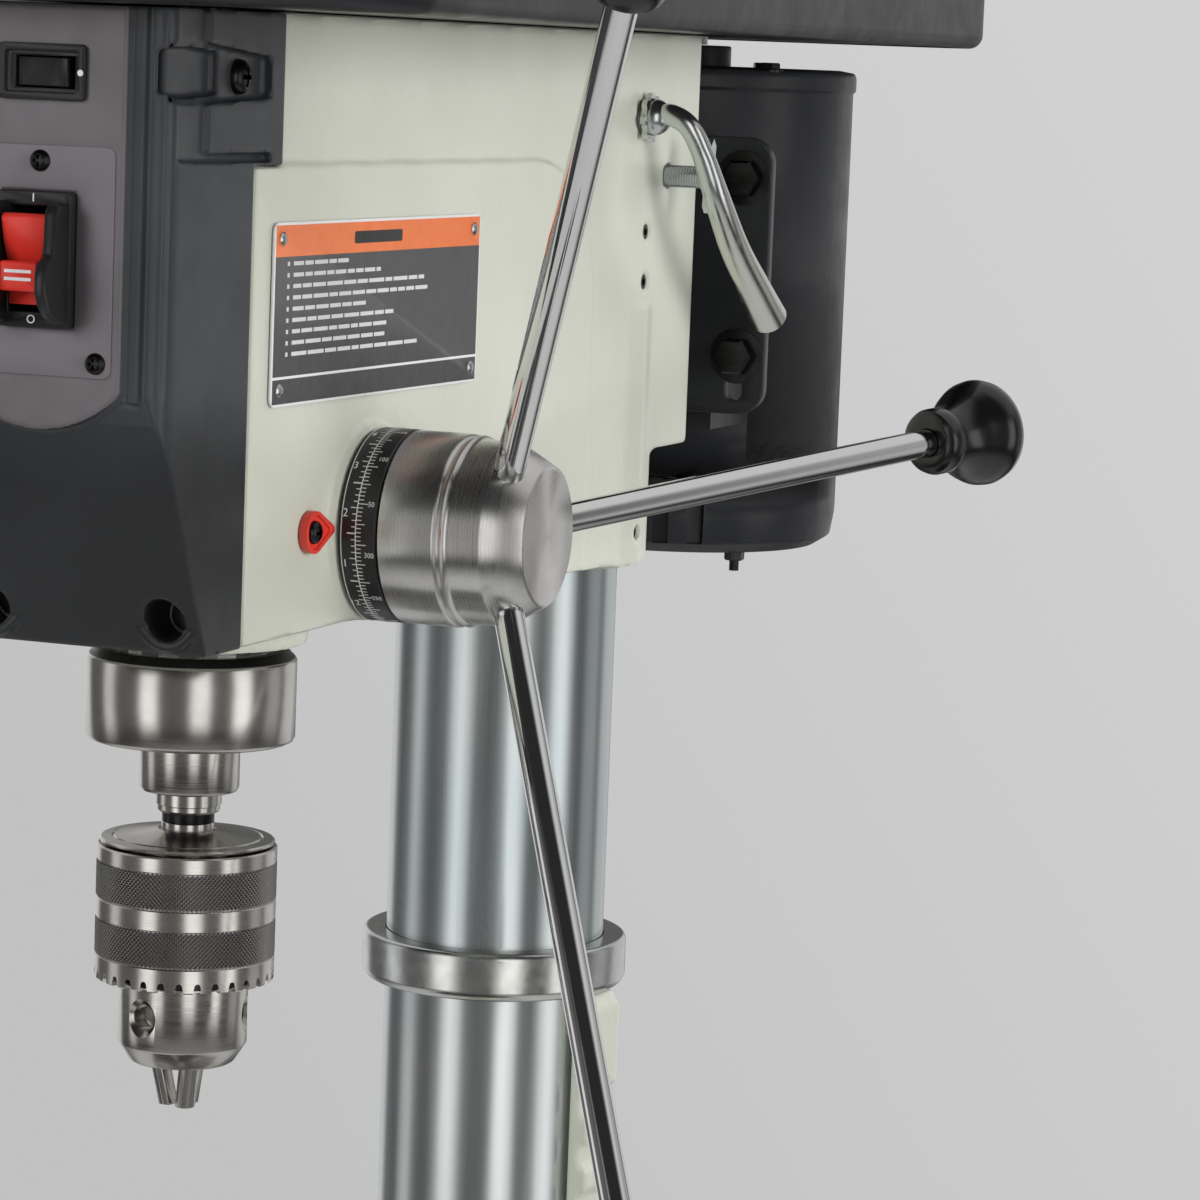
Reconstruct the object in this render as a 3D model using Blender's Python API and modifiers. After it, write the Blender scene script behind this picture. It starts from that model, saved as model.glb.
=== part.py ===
"""Floor-standing 17 inch drill press, built as an assembly of separate named pieces.

Frame: the origin is on the floor on the column's axis, +Z is up, the operator stands at -Y
and looks along +Y, and +X is the operator's right. Lengths are in metres.
"""
import math

import bmesh
import bpy
from mathutils import Vector

# Driving dimensions
GAP = 0.0003                 # clearance between neighbouring solids
COLUMN_R = 0.040
SPINDLE_Y = -0.2612          # spindle axis, in front of the column axis
CHUCK_Z = 1.190              # lower edge of the chuck's toothed band
COLUMN_TOP = CHUCK_Z + 0.236
HEAD_Z = CHUCK_Z + 0.112     # underside of the head casting
HEAD_TOP = CHUCK_Z + 0.298
HEAD_REAR_Y = SPINDLE_Y + 0.3095
SIDE_X = 0.0420              # half-width of the head at the spindle
SIDE_TAPER = 0.0324          # how fast the half-width grows towards the rear
PANEL_STEP = 0.0015          # the lower side panel stands this far proud
QUILL_R = 0.0235
COLLAR_R = 0.0323
HUB_Y = SPINDLE_Y + 0.0341   # feed shaft axis
HUB_Z = CHUCK_Z + 0.142
HUB_R = 0.030
ROD_TILT = math.radians(21.45)
ROD_PHASE = math.radians(-35.4)
ROD_R = 0.0048
CHUCK_R = 0.02786
JAW_TILT = math.radians(12.0)
JAW_R = 0.0031
COVER_FRONT_Y = SPINDLE_Y - 0.1045
GUARD_HALF = 0.107           # belt guard
GUARD_FRONT_Y = SPINDLE_Y - 0.125
GUARD_REAR_Y = SPINDLE_Y + 0.530
GUARD_Z = CHUCK_Z + 0.2978
GUARD_HEIGHT = 0.112
MOTOR_Y = SPINDLE_Y + 0.438
MOTOR_R = 0.067
MOTOR_Z = CHUCK_Z + 0.0976
MOTOR_TOP = CHUCK_Z + 0.287
IDLER_Y = SPINDLE_Y + 0.200
BAR_X = 0.030                # motor slide bars
BAR_Z = CHUCK_Z + 0.247
PULLEY_SUM = 0.094           # meshing steps of two pulleys add up to this
PULLEY_STEPS = (0.058, 0.051, 0.043, 0.036)
STEP_HEIGHT = 0.018
PULLEY_Z = CHUCK_Z + 0.317
BRACKET_Z = 0.745            # lower edge of the table bracket
BRACKET_HEIGHT = 0.110
BRACKET_R = 0.060
TILT_Z = BRACKET_Z + 0.068   # table tilting axis
TABLE_TOP = TILT_Z + 0.082
TABLE_HALF = 0.145
TABLE_THICK = 0.020
RACK_TURN = math.radians(-10.0)
RACK_LOW = 0.160
RACK_HIGH = CHUCK_Z - 0.0502
CRANK_Z = BRACKET_Z + 0.040
BASE_HALF = 0.150
BASE_FRONT_Y = -0.355
BASE_REAR_Y = 0.130
BASE_HEIGHT = 0.045

X_AXIS = Vector((1, 0, 0))
Z_AXIS = Vector((0, 0, 1))

for old in list(bpy.data.objects):
    bpy.data.objects.remove(old, do_unlink=True)

PARTS = bpy.data.collections.new("drill_press")
CUTTERS = bpy.data.collections.new("cutters")
for group in (PARTS, CUTTERS):
    bpy.context.scene.collection.children.link(group)

FINISHES = {
    "head_paint": ((0.56, 0.58, 0.48), 0.45, 0.0),
    "cover_plastic": ((0.062, 0.066, 0.072), 0.5, 0.0),
    "black_paint": ((0.018, 0.018, 0.020), 0.4, 0.0),
    "black_plastic": ((0.012, 0.012, 0.013), 0.35, 0.0),
    "zinc_steel": ((0.62, 0.65, 0.66), 0.3, 1.0),
    "bright_steel": ((0.66, 0.65, 0.62), 0.25, 1.0),
    "chrome": ((0.80, 0.80, 0.80), 0.08, 1.0),
    "bare_iron": ((0.42, 0.42, 0.42), 0.4, 1.0),
    "aluminium": ((0.70, 0.70, 0.71), 0.35, 1.0),
    "red_plastic": ((0.70, 0.035, 0.025), 0.4, 0.0),
    "belt_rubber": ((0.015, 0.015, 0.016), 0.8, 0.0),
    "label_metal": ((0.07, 0.07, 0.072), 0.45, 0.0),
}


# ---- helpers ----
def finish(name):
    """The shared material of one finish."""
    material = bpy.data.materials.get(name)
    if material is None:
        colour, roughness, metallic = FINISHES[name]
        material = bpy.data.materials.new(name)
        material.use_nodes = True
        shader = material.node_tree.nodes["Principled BSDF"]
        shader.inputs["Base Color"].default_value = (*colour, 1.0)
        shader.inputs["Roughness"].default_value = roughness
        shader.inputs["Metallic"].default_value = metallic
    return material


def add(name, mesh, material=None, location=(0, 0, 0), direction=Z_AXIS):
    """Link a mesh as a part, or as a cutter when it has no material."""
    obj = bpy.data.objects.new(name, mesh)
    obj.location = location
    obj.rotation_euler = Z_AXIS.rotation_difference(Vector(direction)).to_euler()
    if material:
        mesh.materials.append(finish(material))
        PARTS.objects.link(obj)
    else:
        obj.hide_render = True
        obj.display_type = "WIRE"
        CUTTERS.objects.link(obj)
    return obj


def mesh_from(name, bm):
    mesh = bpy.data.meshes.new(name)
    bm.to_mesh(mesh)
    bm.free()
    return mesh


def box(name, low, high, material=None):
    """A box between two corners, with its origin at its centre."""
    low, high = Vector(low), Vector(high)
    bm = bmesh.new()
    bmesh.ops.create_cube(bm, size=1.0)
    bmesh.ops.scale(bm, vec=high - low, verts=bm.verts)
    return add(name, mesh_from(name, bm), material, (low + high) / 2)


def rod(name, start, end, radius, material=None, end_radius=None, segments=16):
    """A cylinder, or a cone, between two points; its origin is at the start."""
    start, end = Vector(start), Vector(end)
    length = (end - start).length
    bm = bmesh.new()
    bmesh.ops.create_cone(bm, cap_ends=True, segments=segments, radius1=radius,
                          radius2=radius if end_radius is None else end_radius, depth=length)
    bmesh.ops.translate(bm, vec=(0, 0, length / 2), verts=bm.verts)
    mesh = mesh_from(name, bm)
    shade(mesh)
    return add(name, mesh, material, start, end - start)


def shade(mesh, degrees=35.0):
    mesh.shade_smooth()
    mesh.set_sharp_from_angle(angle=math.radians(degrees))


def turned(name, profile, origin, direction=Z_AXIS, material=None, ring=False, segments=20):
    """Turn a (radius, height) profile, listed from its top down the outer side."""
    mesh = bpy.data.meshes.new(name)
    count = len(profile)
    edges = [(i, i + 1) for i in range(count - 1)] + ([(count - 1, 0)] if ring else [])
    mesh.from_pydata([(r, 0, h) for r, h in profile], edges, [])
    obj = add(name, mesh, material, origin, direction)
    screw = obj.modifiers.new("turn", "SCREW")
    screw.steps = screw.render_steps = segments
    screw.use_merge_vertices = True
    screw.merge_threshold = 0.00001
    screw.use_smooth_shade = True
    return obj


def outline_mesh(name, outlines, thickness):
    """A flat outline, with any inner outlines as holes, made into a slab along its Z."""
    curve = bpy.data.curves.new(name, "CURVE")
    curve.dimensions = "2D"
    curve.fill_mode = "BOTH"
    curve.extrude = thickness / 2
    for points in outlines:
        spline = curve.splines.new("POLY")
        spline.points.add(len(points) - 1)
        for point, (x, y) in zip(spline.points, points):
            point.co = (x, y, 0, 1)
        spline.use_cyclic_u = True
    return curve_mesh(name, curve)


def curve_mesh(name, curve):
    """The welded mesh of a curve, so that it can be cut and joined."""
    holder = bpy.data.objects.new(name + "_curve", curve)
    bpy.context.scene.collection.objects.link(holder)
    bpy.context.view_layer.update()
    mesh = bpy.data.meshes.new_from_object(holder.evaluated_get(bpy.context.evaluated_depsgraph_get()))
    bpy.data.objects.remove(holder, do_unlink=True)
    mesh.materials.clear()
    bm = bmesh.new()
    bm.from_mesh(mesh)
    bmesh.ops.remove_doubles(bm, verts=bm.verts, dist=0.000005)
    bmesh.ops.recalc_face_normals(bm, faces=bm.faces)
    bm.to_mesh(mesh)
    bm.free()
    return mesh


def slab_z(name, outlines, low, high, material=None):
    """An outline in X and Y, between two heights."""
    return add(name, outline_mesh(name, outlines, high - low), material, (0, 0, (low + high) / 2))


def slab_x(name, outlines, low, high, material=None):
    """An outline in Y and Z, between two X positions."""
    obj = add(name, outline_mesh(name, outlines, high - low), material, ((low + high) / 2, 0, 0))
    obj.rotation_euler = (math.pi / 2, 0, math.pi / 2)
    return obj


def tube(name, points, radii, material, resolution=3):
    """A round bar along a list of points, with its own radius at each."""
    curve = bpy.data.curves.new(name, "CURVE")
    curve.dimensions = "3D"
    curve.bevel_depth = 1.0
    curve.bevel_resolution = resolution
    curve.use_fill_caps = True
    spline = curve.splines.new("POLY")
    spline.points.add(len(points) - 1)
    for point, place, radius in zip(spline.points, points, radii):
        point.co = (*place, 1)
        point.radius = radius
    mesh = curve_mesh(name, curve)
    shade(mesh)
    return add(name, mesh, material)


def combine(target, other, operation):
    step = target.modifiers.new(other.name, "BOOLEAN")
    step.operation = operation
    step.solver = "EXACT"
    step.object = other


def cut(target, *others):
    for other in others:
        combine(target, other, "DIFFERENCE")
    return target


def join(target, *others):
    for other in others:
        combine(target, other, "UNION")
    return target


def arc(centre, radius, start, end, steps):
    """Points along an arc, angles in degrees."""
    angles = [math.radians(start + (end - start) * i / steps) for i in range(steps + 1)]
    return [(centre[0] + radius * math.cos(a), centre[1] + radius * math.sin(a)) for a in angles]


def rounded(low, high, radius, steps=4):
    """A rectangle's outline with round corners."""
    (x0, y0), (x1, y1) = low, high
    corners = (((x1 - radius, y1 - radius), 0), ((x0 + radius, y1 - radius), 90),
               ((x0 + radius, y0 + radius), 180), ((x1 - radius, y0 + radius), 270))
    return [p for centre, start in corners for p in arc(centre, radius, start, start + 90, steps)]


def hull_outline(y0, r0, y1, r1, steps=16):
    """The outline of a band around two circles on the machine's centre plane."""
    lean = math.degrees(math.asin((r0 - r1) / (y1 - y0)))
    rear = arc((0, y1), r1, lean, 180 - lean, steps)
    front = arc((0, y0), r0, 180 - lean, 360 + lean, steps)
    return rear + front


def pivot(name, location, parent=None):
    """An empty on a joint's axis, which carries the pieces that move there."""
    empty = bpy.data.objects.new(name, None)
    empty.empty_display_size = 0.02
    empty.location = location
    PARTS.objects.link(empty)
    if parent:
        carry(parent, empty)
    return empty


def carry(parent, *children):
    """Parent pieces without moving them: pivots are never rotated at rest."""
    base = Vector(parent.location)
    upper = parent.parent
    while upper:
        base += upper.location
        upper = upper.parent
    for child in children:
        child.parent = parent
        child.location = Vector(child.location) - base


def side_x(y):
    """Half-width of the head at a Y position."""
    return SIDE_X + SIDE_TAPER * (y - SPINDLE_Y)


def ahead(*pairs):
    """Outline points given as (behind the spindle axis, above the chuck datum)."""
    return [(SPINDLE_Y + y, CHUCK_Z + z) for y, z in pairs]


# ---- stand: base, column, rack ring ----
def make_base():
    base = slab_z("base_casting", [rounded((-BASE_HALF, BASE_FRONT_Y), (BASE_HALF, BASE_REAR_Y), 0.030)],
                  0.0, BASE_HEIGHT, "head_paint")
    for side in (-1, 1):
        middle = 0.080 * side
        cut(base, box(f"base_slot_{side}", (middle - 0.008, -0.300, -0.01), (middle + 0.008, -0.130, 0.06)))
        cut(base, rod(f"base_hole_{side}", (0.120 * side, 0.100, -0.01), (0.120 * side, 0.100, 0.06), 0.007))
    wall = 0.014
    cut(base, box("base_pocket", (wall - BASE_HALF, BASE_FRONT_Y + wall, -0.01),
                  (BASE_HALF - wall, BASE_REAR_Y - wall, BASE_HEIGHT - wall)))
    join(base, rod("base_boss", (0, 0, 0.0), (0, 0, BASE_HEIGHT - 0.010), 0.055, segments=32))


def make_column():
    flange = turned("column_flange", [
        (COLUMN_R + GAP, 0.075), (0.0560, 0.075), (0.0640, 0.026), (0.0740, 0.017), (0.0900, 0.015),
        (0.0900, 0.0), (COLUMN_R + GAP, 0.0)],
        (0, 0, BASE_HEIGHT + GAP), material="head_paint", ring=True, segments=32)
    for index in range(4):
        angle = math.radians(45 + 90 * index)
        x, y = 0.0785 * math.cos(angle), 0.0785 * math.sin(angle)
        cut(flange, rod(f"flange_hole_{index}", (x, y, 0.03), (x, y, 0.09), 0.0055, segments=12))
    turned("column_tube", [
        (COLUMN_R - 0.001, COLUMN_TOP), (COLUMN_R, COLUMN_TOP - 0.001), (COLUMN_R, BASE_HEIGHT + GAP),
        (0.0355, BASE_HEIGHT + GAP), (0.0355, COLUMN_TOP)], (0, 0, 0), material="zinc_steel",
        ring=True, segments=32)
    low, high = CHUCK_Z - 0.0496, CHUCK_Z - 0.0321
    turned("column_ring", [
        (0.0475, high), (0.04865, high - 0.0012), (0.04865, low + 0.0025), (0.0470, low),
        (COLUMN_R + GAP, low), (COLUMN_R + GAP, high)], (0, 0, 0), material="zinc_steel",
        ring=True, segments=32)


# ---- head casting and its covers ----
def plan(name, inset, low_y, high_y):
    """A slab with the head's tapered plan."""
    points = [(side_x(low_y) - inset, low_y), (side_x(high_y) - inset, high_y)]
    return slab_z(name, [points + [(-x, y) for x, y in reversed(points)]], HEAD_Z - 0.02, HEAD_TOP + 0.02)


def make_head():
    body = ahead((-0.0500, 0.112), (0.100, 0.112), (0.200, 0.110), (0.262, 0.107), (0.268, 0.107),
                 (0.268, 0.148), (0.3095, 0.148), (0.3095, 0.298), (-0.0318, 0.298), (-0.0318, 0.2529),
                 (-0.0500, 0.2529))
    head = slab_x("head_casting", [body], -0.07, 0.07, "head_paint")
    combine(head, plan("head_plan", PANEL_STEP, SPINDLE_Y - 0.08, SPINDLE_Y + 0.34), "INTERSECT")
    panel = (ahead((-0.0500, 0.112), (0.100, 0.112), (0.2107, 0.1098))
             + arc((SPINDLE_Y + 0.1607, CHUCK_Z + 0.2029), 0.050, 0, 90, 8) + ahead((-0.0500, 0.2529)))
    side_panel = slab_x("side_panel", [panel], -0.07, 0.07)
    combine(side_panel, plan("panel_plan", 0.0, SPINDLE_Y - 0.08, SPINDLE_Y + 0.34), "INTERSECT")
    nose = box("head_nose", (-0.0365, SPINDLE_Y - 0.062, CHUCK_Z + 0.1152),
               (0.0365, SPINDLE_Y - 0.040, CHUCK_Z + 0.2945))
    quill_boss = rod("quill_boss", (0, SPINDLE_Y, CHUCK_Z + 0.106), (0, SPINDLE_Y, CHUCK_Z + 0.120),
                     0.0355, segments=24)
    hub_boss = rod("hub_boss", (-0.0452, HUB_Y, HUB_Z), (0.0452, HUB_Y, HUB_Z), 0.0305, segments=32)
    clamp = rod("clamp_boss", (0, 0, CHUCK_Z + 0.107), (0, 0, CHUCK_Z + 0.200), 0.0503, segments=24)
    join(head, side_panel, nose, quill_boss, hub_boss, clamp)
    low, high = CHUCK_Z + 0.095, HEAD_TOP + 0.01
    cut(head,
        rod("quill_bore", (0, SPINDLE_Y, low), (0, SPINDLE_Y, high), QUILL_R + GAP, segments=24),
        rod("column_bore", (0, 0, low), (0, 0, COLUMN_TOP + GAP), COLUMN_R + GAP, segments=32),
        box("drive_cavity", (-0.034, SPINDLE_Y + 0.054, CHUCK_Z + 0.122), (0.034, SPINDLE_Y + 0.195, high)),
        box("rear_cavity", (-0.041, SPINDLE_Y + 0.212, CHUCK_Z + 0.230), (0.041, SPINDLE_Y + 0.300, high)),
        rod("feed_bore", (-0.06, HUB_Y, HUB_Z), (0.06, HUB_Y, HUB_Z), 0.0118, segments=16),
        rod("spring_bore", (-0.06, HUB_Y, HUB_Z), (-0.0400, HUB_Y, HUB_Z), 0.0230, segments=16),
        rod("lever_bore", (0.030, SPINDLE_Y + 0.2535, CHUCK_Z + 0.268),
            (0.060, SPINDLE_Y + 0.2535, CHUCK_Z + 0.268), 0.0058, segments=12),
        rod("wing_bore", (0.0378, SPINDLE_Y + 0.280, BAR_Z), (0.060, SPINDLE_Y + 0.280, BAR_Z),
            0.0044, segments=12))
    for side in (-1, 1):
        x = BAR_X * side
        cut(head, rod(f"bar_bore_{side}", (x, SPINDLE_Y + 0.180, BAR_Z), (x, SPINDLE_Y + 0.320, BAR_Z),
                      0.0078, segments=12))
    for z in (0.2272, 0.2093, 0.1188):
        cut(head, rod(f"set_screw_hole_{z}", (0.0445, 0, CHUCK_Z + z), (0.060, 0, CHUCK_Z + z),
                      0.0028, segments=10))


def chin(inset):
    """The side view of the front cover, moved inwards by a wall thickness."""
    top, bottom = 0.2975 - inset, 0.112 + inset
    front = [(-0.1045, top), (-0.1045, 0.190), (-0.1025, 0.180), (-0.0985, 0.170), (-0.0943, 0.160),
             (-0.0736, bottom)]
    return ahead((-0.0323, top), *[(y + inset, z) for y, z in front], (-0.0503, bottom),
                 (-0.0503, 0.2532), (-0.0323, 0.2532))


def make_front_cover():
    cover = slab_x("front_cover", [chin(0.0)], -0.06, 0.06, "cover_plastic")
    radius = 0.0075
    corner = (side_x(COVER_FRONT_Y) - radius, COVER_FRONT_Y + radius)
    half = [(side_x(SPINDLE_Y - 0.020), SPINDLE_Y - 0.020)] + arc(corner, radius, 0, -90, 5)
    cover_plan = slab_z("cover_plan", [half + [(-x, y) for x, y in reversed(half)]],
                        HEAD_Z - 0.02, HEAD_TOP + 0.02)
    combine(cover, cover_plan, "INTERSECT")
    inside = slab_x("cover_inside", [ahead((0.01, 0.2947)) + chin(0.0028)[1:-2]
                                     + ahead((0.01, 0.1148))], -0.0369, 0.0369)
    cut(cover, inside,
        box("cover_rear", (-0.0369, SPINDLE_Y - 0.055, CHUCK_Z + 0.113),
            (0.0369, SPINDLE_Y + 0.02, CHUCK_Z + 0.2947)),
        box("switch_opening", (-0.0094, COVER_FRONT_Y - 0.01, CHUCK_Z + 0.2090),
            (0.0094, COVER_FRONT_Y + 0.01, CHUCK_Z + 0.2430)),
        box("lamp_opening", (-0.0119, COVER_FRONT_Y - 0.01, CHUCK_Z + 0.2720),
            (0.0119, COVER_FRONT_Y + 0.01, CHUCK_Z + 0.2844)))


def make_switches():
    front = COVER_FRONT_Y
    plate = box("switch_plate", (-0.0232, front - 0.0015, CHUCK_Z + 0.1931),
                (0.0232, front - GAP, CHUCK_Z + 0.2580), "cover_plastic")
    cut(plate, box("plate_opening", (-0.0096, front - 0.01, CHUCK_Z + 0.2088),
                   (0.0096, front + 0.01, CHUCK_Z + 0.2432)))
    housing = box("switch_housing", (-0.0115, front - 0.0050, CHUCK_Z + 0.2068),
                  (0.0115, front - 0.0018, CHUCK_Z + 0.2452), "black_plastic")
    join(housing, box("switch_body", (-0.0090, front - 0.0040, CHUCK_Z + 0.2094),
                      (0.0090, front + 0.0220, CHUCK_Z + 0.2426)))
    for side in (-1, 1):
        wall = sorted((0.0076 * side, 0.0115 * side))
        guard = ([(front - 0.003, CHUCK_Z + 0.2085), (front - 0.003, CHUCK_Z + 0.2425)]
                 + arc((front - 0.010, CHUCK_Z + 0.2385), 0.0040, 90, 180, 3)
                 + [(front - 0.0150, CHUCK_Z + 0.2270), (front - 0.0185, CHUCK_Z + 0.2225),
                    (front - 0.0175, CHUCK_Z + 0.2160), (front - 0.0110, CHUCK_Z + 0.2095)])
        join(housing, slab_x(f"switch_guard_{side}", [guard], wall[0], wall[1]))
    cut(housing, box("paddle_well", (-0.0072, front - 0.02, CHUCK_Z + 0.2112),
                     (0.0072, front + 0.0190, CHUCK_Z + 0.2408)))

    paddle_axis = pivot("switch_paddle_axis", (0, front + 0.004, CHUCK_Z + 0.2250))
    profile = [(front + 0.010, CHUCK_Z + 0.2190), (front + 0.010, CHUCK_Z + 0.2310),
               (front - 0.0030, CHUCK_Z + 0.2385), (front - 0.0100, CHUCK_Z + 0.2375),
               (front - 0.0080, CHUCK_Z + 0.2250), (front - 0.0055, CHUCK_Z + 0.2235),
               (front - 0.0045, CHUCK_Z + 0.2130)]
    paddle = slab_x("switch_paddle", [profile], -0.0068, 0.0068, "red_plastic")
    cut(paddle, box("key_slot", (-0.0028, front - 0.02, CHUCK_Z + 0.2187),
                    (0.0028, front + 0.0040, CHUCK_Z + 0.2223)))
    key = box("safety_key", (-0.0055, front - 0.0125, CHUCK_Z + 0.2175),
              (0.0055, front - 0.0085, CHUCK_Z + 0.2245), "red_plastic")
    join(key, box("key_tongue", (-0.0025, front - 0.0100, CHUCK_Z + 0.2190),
                  (0.0025, front + 0.0030, CHUCK_Z + 0.2220)))
    key_axis = pivot("safety_key_axis", (0, front - 0.0085, CHUCK_Z + 0.2205), paddle_axis)
    carry(paddle_axis, paddle)
    carry(key_axis, key)

    frame = box("lamp_switch_frame", (-0.0137, front - 0.0022, CHUCK_Z + 0.2704),
                (0.0137, front - GAP, CHUCK_Z + 0.2862), "black_plastic")
    join(frame, box("lamp_switch_body", (-0.0116, front - 0.0010, CHUCK_Z + 0.2723),
                    (0.0116, front + 0.0120, CHUCK_Z + 0.2841)))
    cut(frame, box("rocker_well", (-0.0085, front - 0.01, CHUCK_Z + 0.2739),
                   (0.0100, front + 0.0100, CHUCK_Z + 0.2827)))
    rocker_axis = pivot("lamp_rocker_axis", (0.0008, front + 0.0040, CHUCK_Z + 0.2783))
    rocker = slab_z("lamp_rocker", [[(-0.0066, front + 0.0055), (-0.0079, front - 0.0008),
                                     (0.0008, front - 0.0014), (0.0088, front - 0.0030),
                                     (0.0076, front + 0.0055)]],
                    CHUCK_Z + 0.2743, CHUCK_Z + 0.2823, "black_plastic")
    carry(rocker_axis, rocker)


def on_side(obj, y, z, proud):
    """Lay a flat piece, modelled in its own Y and Z, on the head's right side."""
    obj.location = (side_x(y) + proud, y, z)
    obj.rotation_euler = (0, 0, -math.atan(SIDE_TAPER))


def make_trim():
    plate = box("info_plate", (-0.0004, -0.0738, -0.0273), (0.0004, 0.0738, 0.0273), "label_metal")
    on_side(plate, SPINDLE_Y + 0.0348, CHUCK_Z + 0.2094, GAP + 0.0004)
    tip = (0.0126, -0.0010)
    drop = arc((0, 0), 0.0065, 55, 297, 14) + [tip]
    pointer = slab_x("depth_pointer", [drop], -0.0015, 0.0015, "red_plastic")
    on_side(pointer, SPINDLE_Y - 0.0095, CHUCK_Z + 0.1430, GAP + 0.0015)
    pointer.rotation_euler = (math.pi / 2, 0, math.pi / 2 - math.atan(SIDE_TAPER))
    turned("spring_cup", [
        (0.0, 0.030), (0.0200, 0.030), (0.0240, 0.026), (0.0240, 0.0), (0.0205, 0.0), (0.0205, 0.018),
        (0.0, 0.018)], (-0.0455 - GAP, HUB_Y, HUB_Z), -X_AXIS, "black_paint", segments=32)
    gland = rod("cord_gland", (-0.0513, SPINDLE_Y + 0.230, CHUCK_Z + 0.170),
                (-0.0640, SPINDLE_Y + 0.230, CHUCK_Z + 0.170), 0.0085, "black_plastic", 0.0060, 16)
    cut(gland, rod("gland_bore", (-0.056, SPINDLE_Y + 0.230, CHUCK_Z + 0.170),
                   (-0.070, SPINDLE_Y + 0.230, CHUCK_Z + 0.170), 0.0038, segments=12))


# ---- belt guard, pulleys and belts ----
def guard_plan(inset):
    low = (-GUARD_HALF + inset, GUARD_FRONT_Y + inset)
    high = (GUARD_HALF - inset, GUARD_REAR_Y - inset)
    return rounded(low, high, 0.050 - inset, 6)


def make_guard():
    pan = slab_z("belt_guard_base", [guard_plan(0.0060)], HEAD_TOP + GAP, HEAD_TOP + 0.020, "black_paint")
    cut(pan, slab_z("pan_inside", [guard_plan(0.0085)], HEAD_TOP + 0.0030, HEAD_TOP + 0.03),
        rod("pan_spindle_hole", (0, SPINDLE_Y, HEAD_TOP - 0.01), (0, SPINDLE_Y, HEAD_TOP + 0.01), 0.026),
        box("pan_drive_hole", (-0.030, SPINDLE_Y + 0.060, HEAD_TOP - 0.01),
            (0.030, SPINDLE_Y + 0.150, HEAD_TOP + 0.01)),
        slab_z("pan_motor_slot", [rounded((-0.014, MOTOR_Y - 0.032), (0.014, MOTOR_Y + 0.018), 0.0135)],
               HEAD_TOP - 0.01, HEAD_TOP + 0.01))
    hinge = pivot("belt_guard_hinge", (-GUARD_HALF - 0.002, 0, GUARD_Z + 0.003))
    lid = slab_z("belt_guard_lid", [guard_plan(0.0)], GUARD_Z, GUARD_Z + GUARD_HEIGHT, "black_paint")
    cut(lid, slab_z("lid_inside", [guard_plan(0.0025)], GUARD_Z - 0.01, GUARD_Z + GUARD_HEIGHT - 0.0025))
    knob = turned("lid_knob", [(0.0, 0.019), (0.0100, 0.018), (0.0130, 0.013), (0.0110, 0.006), (0.0075, 0.0),
                               (0.0, 0.0)], (GUARD_HALF + GAP, SPINDLE_Y + 0.200, GUARD_Z + 0.045),
                  X_AXIS, "black_plastic", segments=20)
    carry(hinge, lid, knob)


def pulley_profile(radii, bore):
    """Stacked V-grooves, first radius at the bottom, on a sleeve."""
    groove = []
    for level, radius in enumerate(radii):
        base = level * STEP_HEIGHT
        groove += [(radius + 0.0090, base + 0.0003), (radius, base + 0.0050), (radius, base + 0.0140),
                   (radius + 0.0090, base + 0.0177)]
    top = len(radii) * STEP_HEIGHT
    return [(bore, top)] + list(reversed(groove)) + [(bore, 0.0)]


def belt(name, level, y0, r0, y1, r1):
    low = PULLEY_Z + level * STEP_HEIGHT + 0.0053
    outer = hull_outline(y0, r0 + 0.0075, y1, r1 + 0.0075)
    inner = hull_outline(y0, r0 + 0.0004, y1, r1 + 0.0004)
    slab_z(name, [outer, inner], low, low + 0.0084, "belt_rubber")


def make_drive():
    idler_steps = [PULLEY_SUM - radius for radius in PULLEY_STEPS]
    spindle_axis = pivot("spindle_pulley_axis", (0, SPINDLE_Y, PULLEY_Z))
    pulley = turned("spindle_pulley", pulley_profile(PULLEY_STEPS, 0.0095), (0, SPINDLE_Y, PULLEY_Z),
                    material="aluminium", ring=True, segments=16)
    carry(spindle_axis, pulley)
    turned("pulley_bearing", [(0.0105, 0.013), (0.0225, 0.013), (0.0225, 0.0), (0.0105, 0.0)],
           (0, SPINDLE_Y, HEAD_TOP + 0.0040), material="bright_steel", ring=True, segments=16)
    arm_axis = pivot("idler_arm_axis", (0, 0, HEAD_TOP + 0.0035))
    link = hull_outline(IDLER_Y, 0.013, 0.0, 0.014, 8)
    arm = slab_z("idler_arm", [link], HEAD_TOP + 0.0036, HEAD_TOP + 0.0106, "bare_iron")
    post_top = PULLEY_Z + 4 * STEP_HEIGHT + 0.004
    join(arm, rod("idler_post", (0, IDLER_Y, HEAD_TOP + 0.008), (0, IDLER_Y, post_top), 0.0075),
         rod("arm_pin", (0, 0, HEAD_TOP + 0.008), (0, 0, HEAD_TOP + 0.016), 0.009))
    idler_axis = pivot("idler_axis", (0, IDLER_Y, PULLEY_Z), arm_axis)
    idler = turned("idler_pulley", pulley_profile(idler_steps, 0.0078), (0, IDLER_Y, PULLEY_Z),
                   material="aluminium", ring=True, segments=16)
    carry(arm_axis, arm)
    carry(idler_axis, idler)
    belt("belt_front", 1, SPINDLE_Y, PULLEY_STEPS[1], IDLER_Y, idler_steps[1])
    belt("belt_rear", 2, IDLER_Y, idler_steps[2], MOTOR_Y, PULLEY_STEPS[2])


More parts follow.
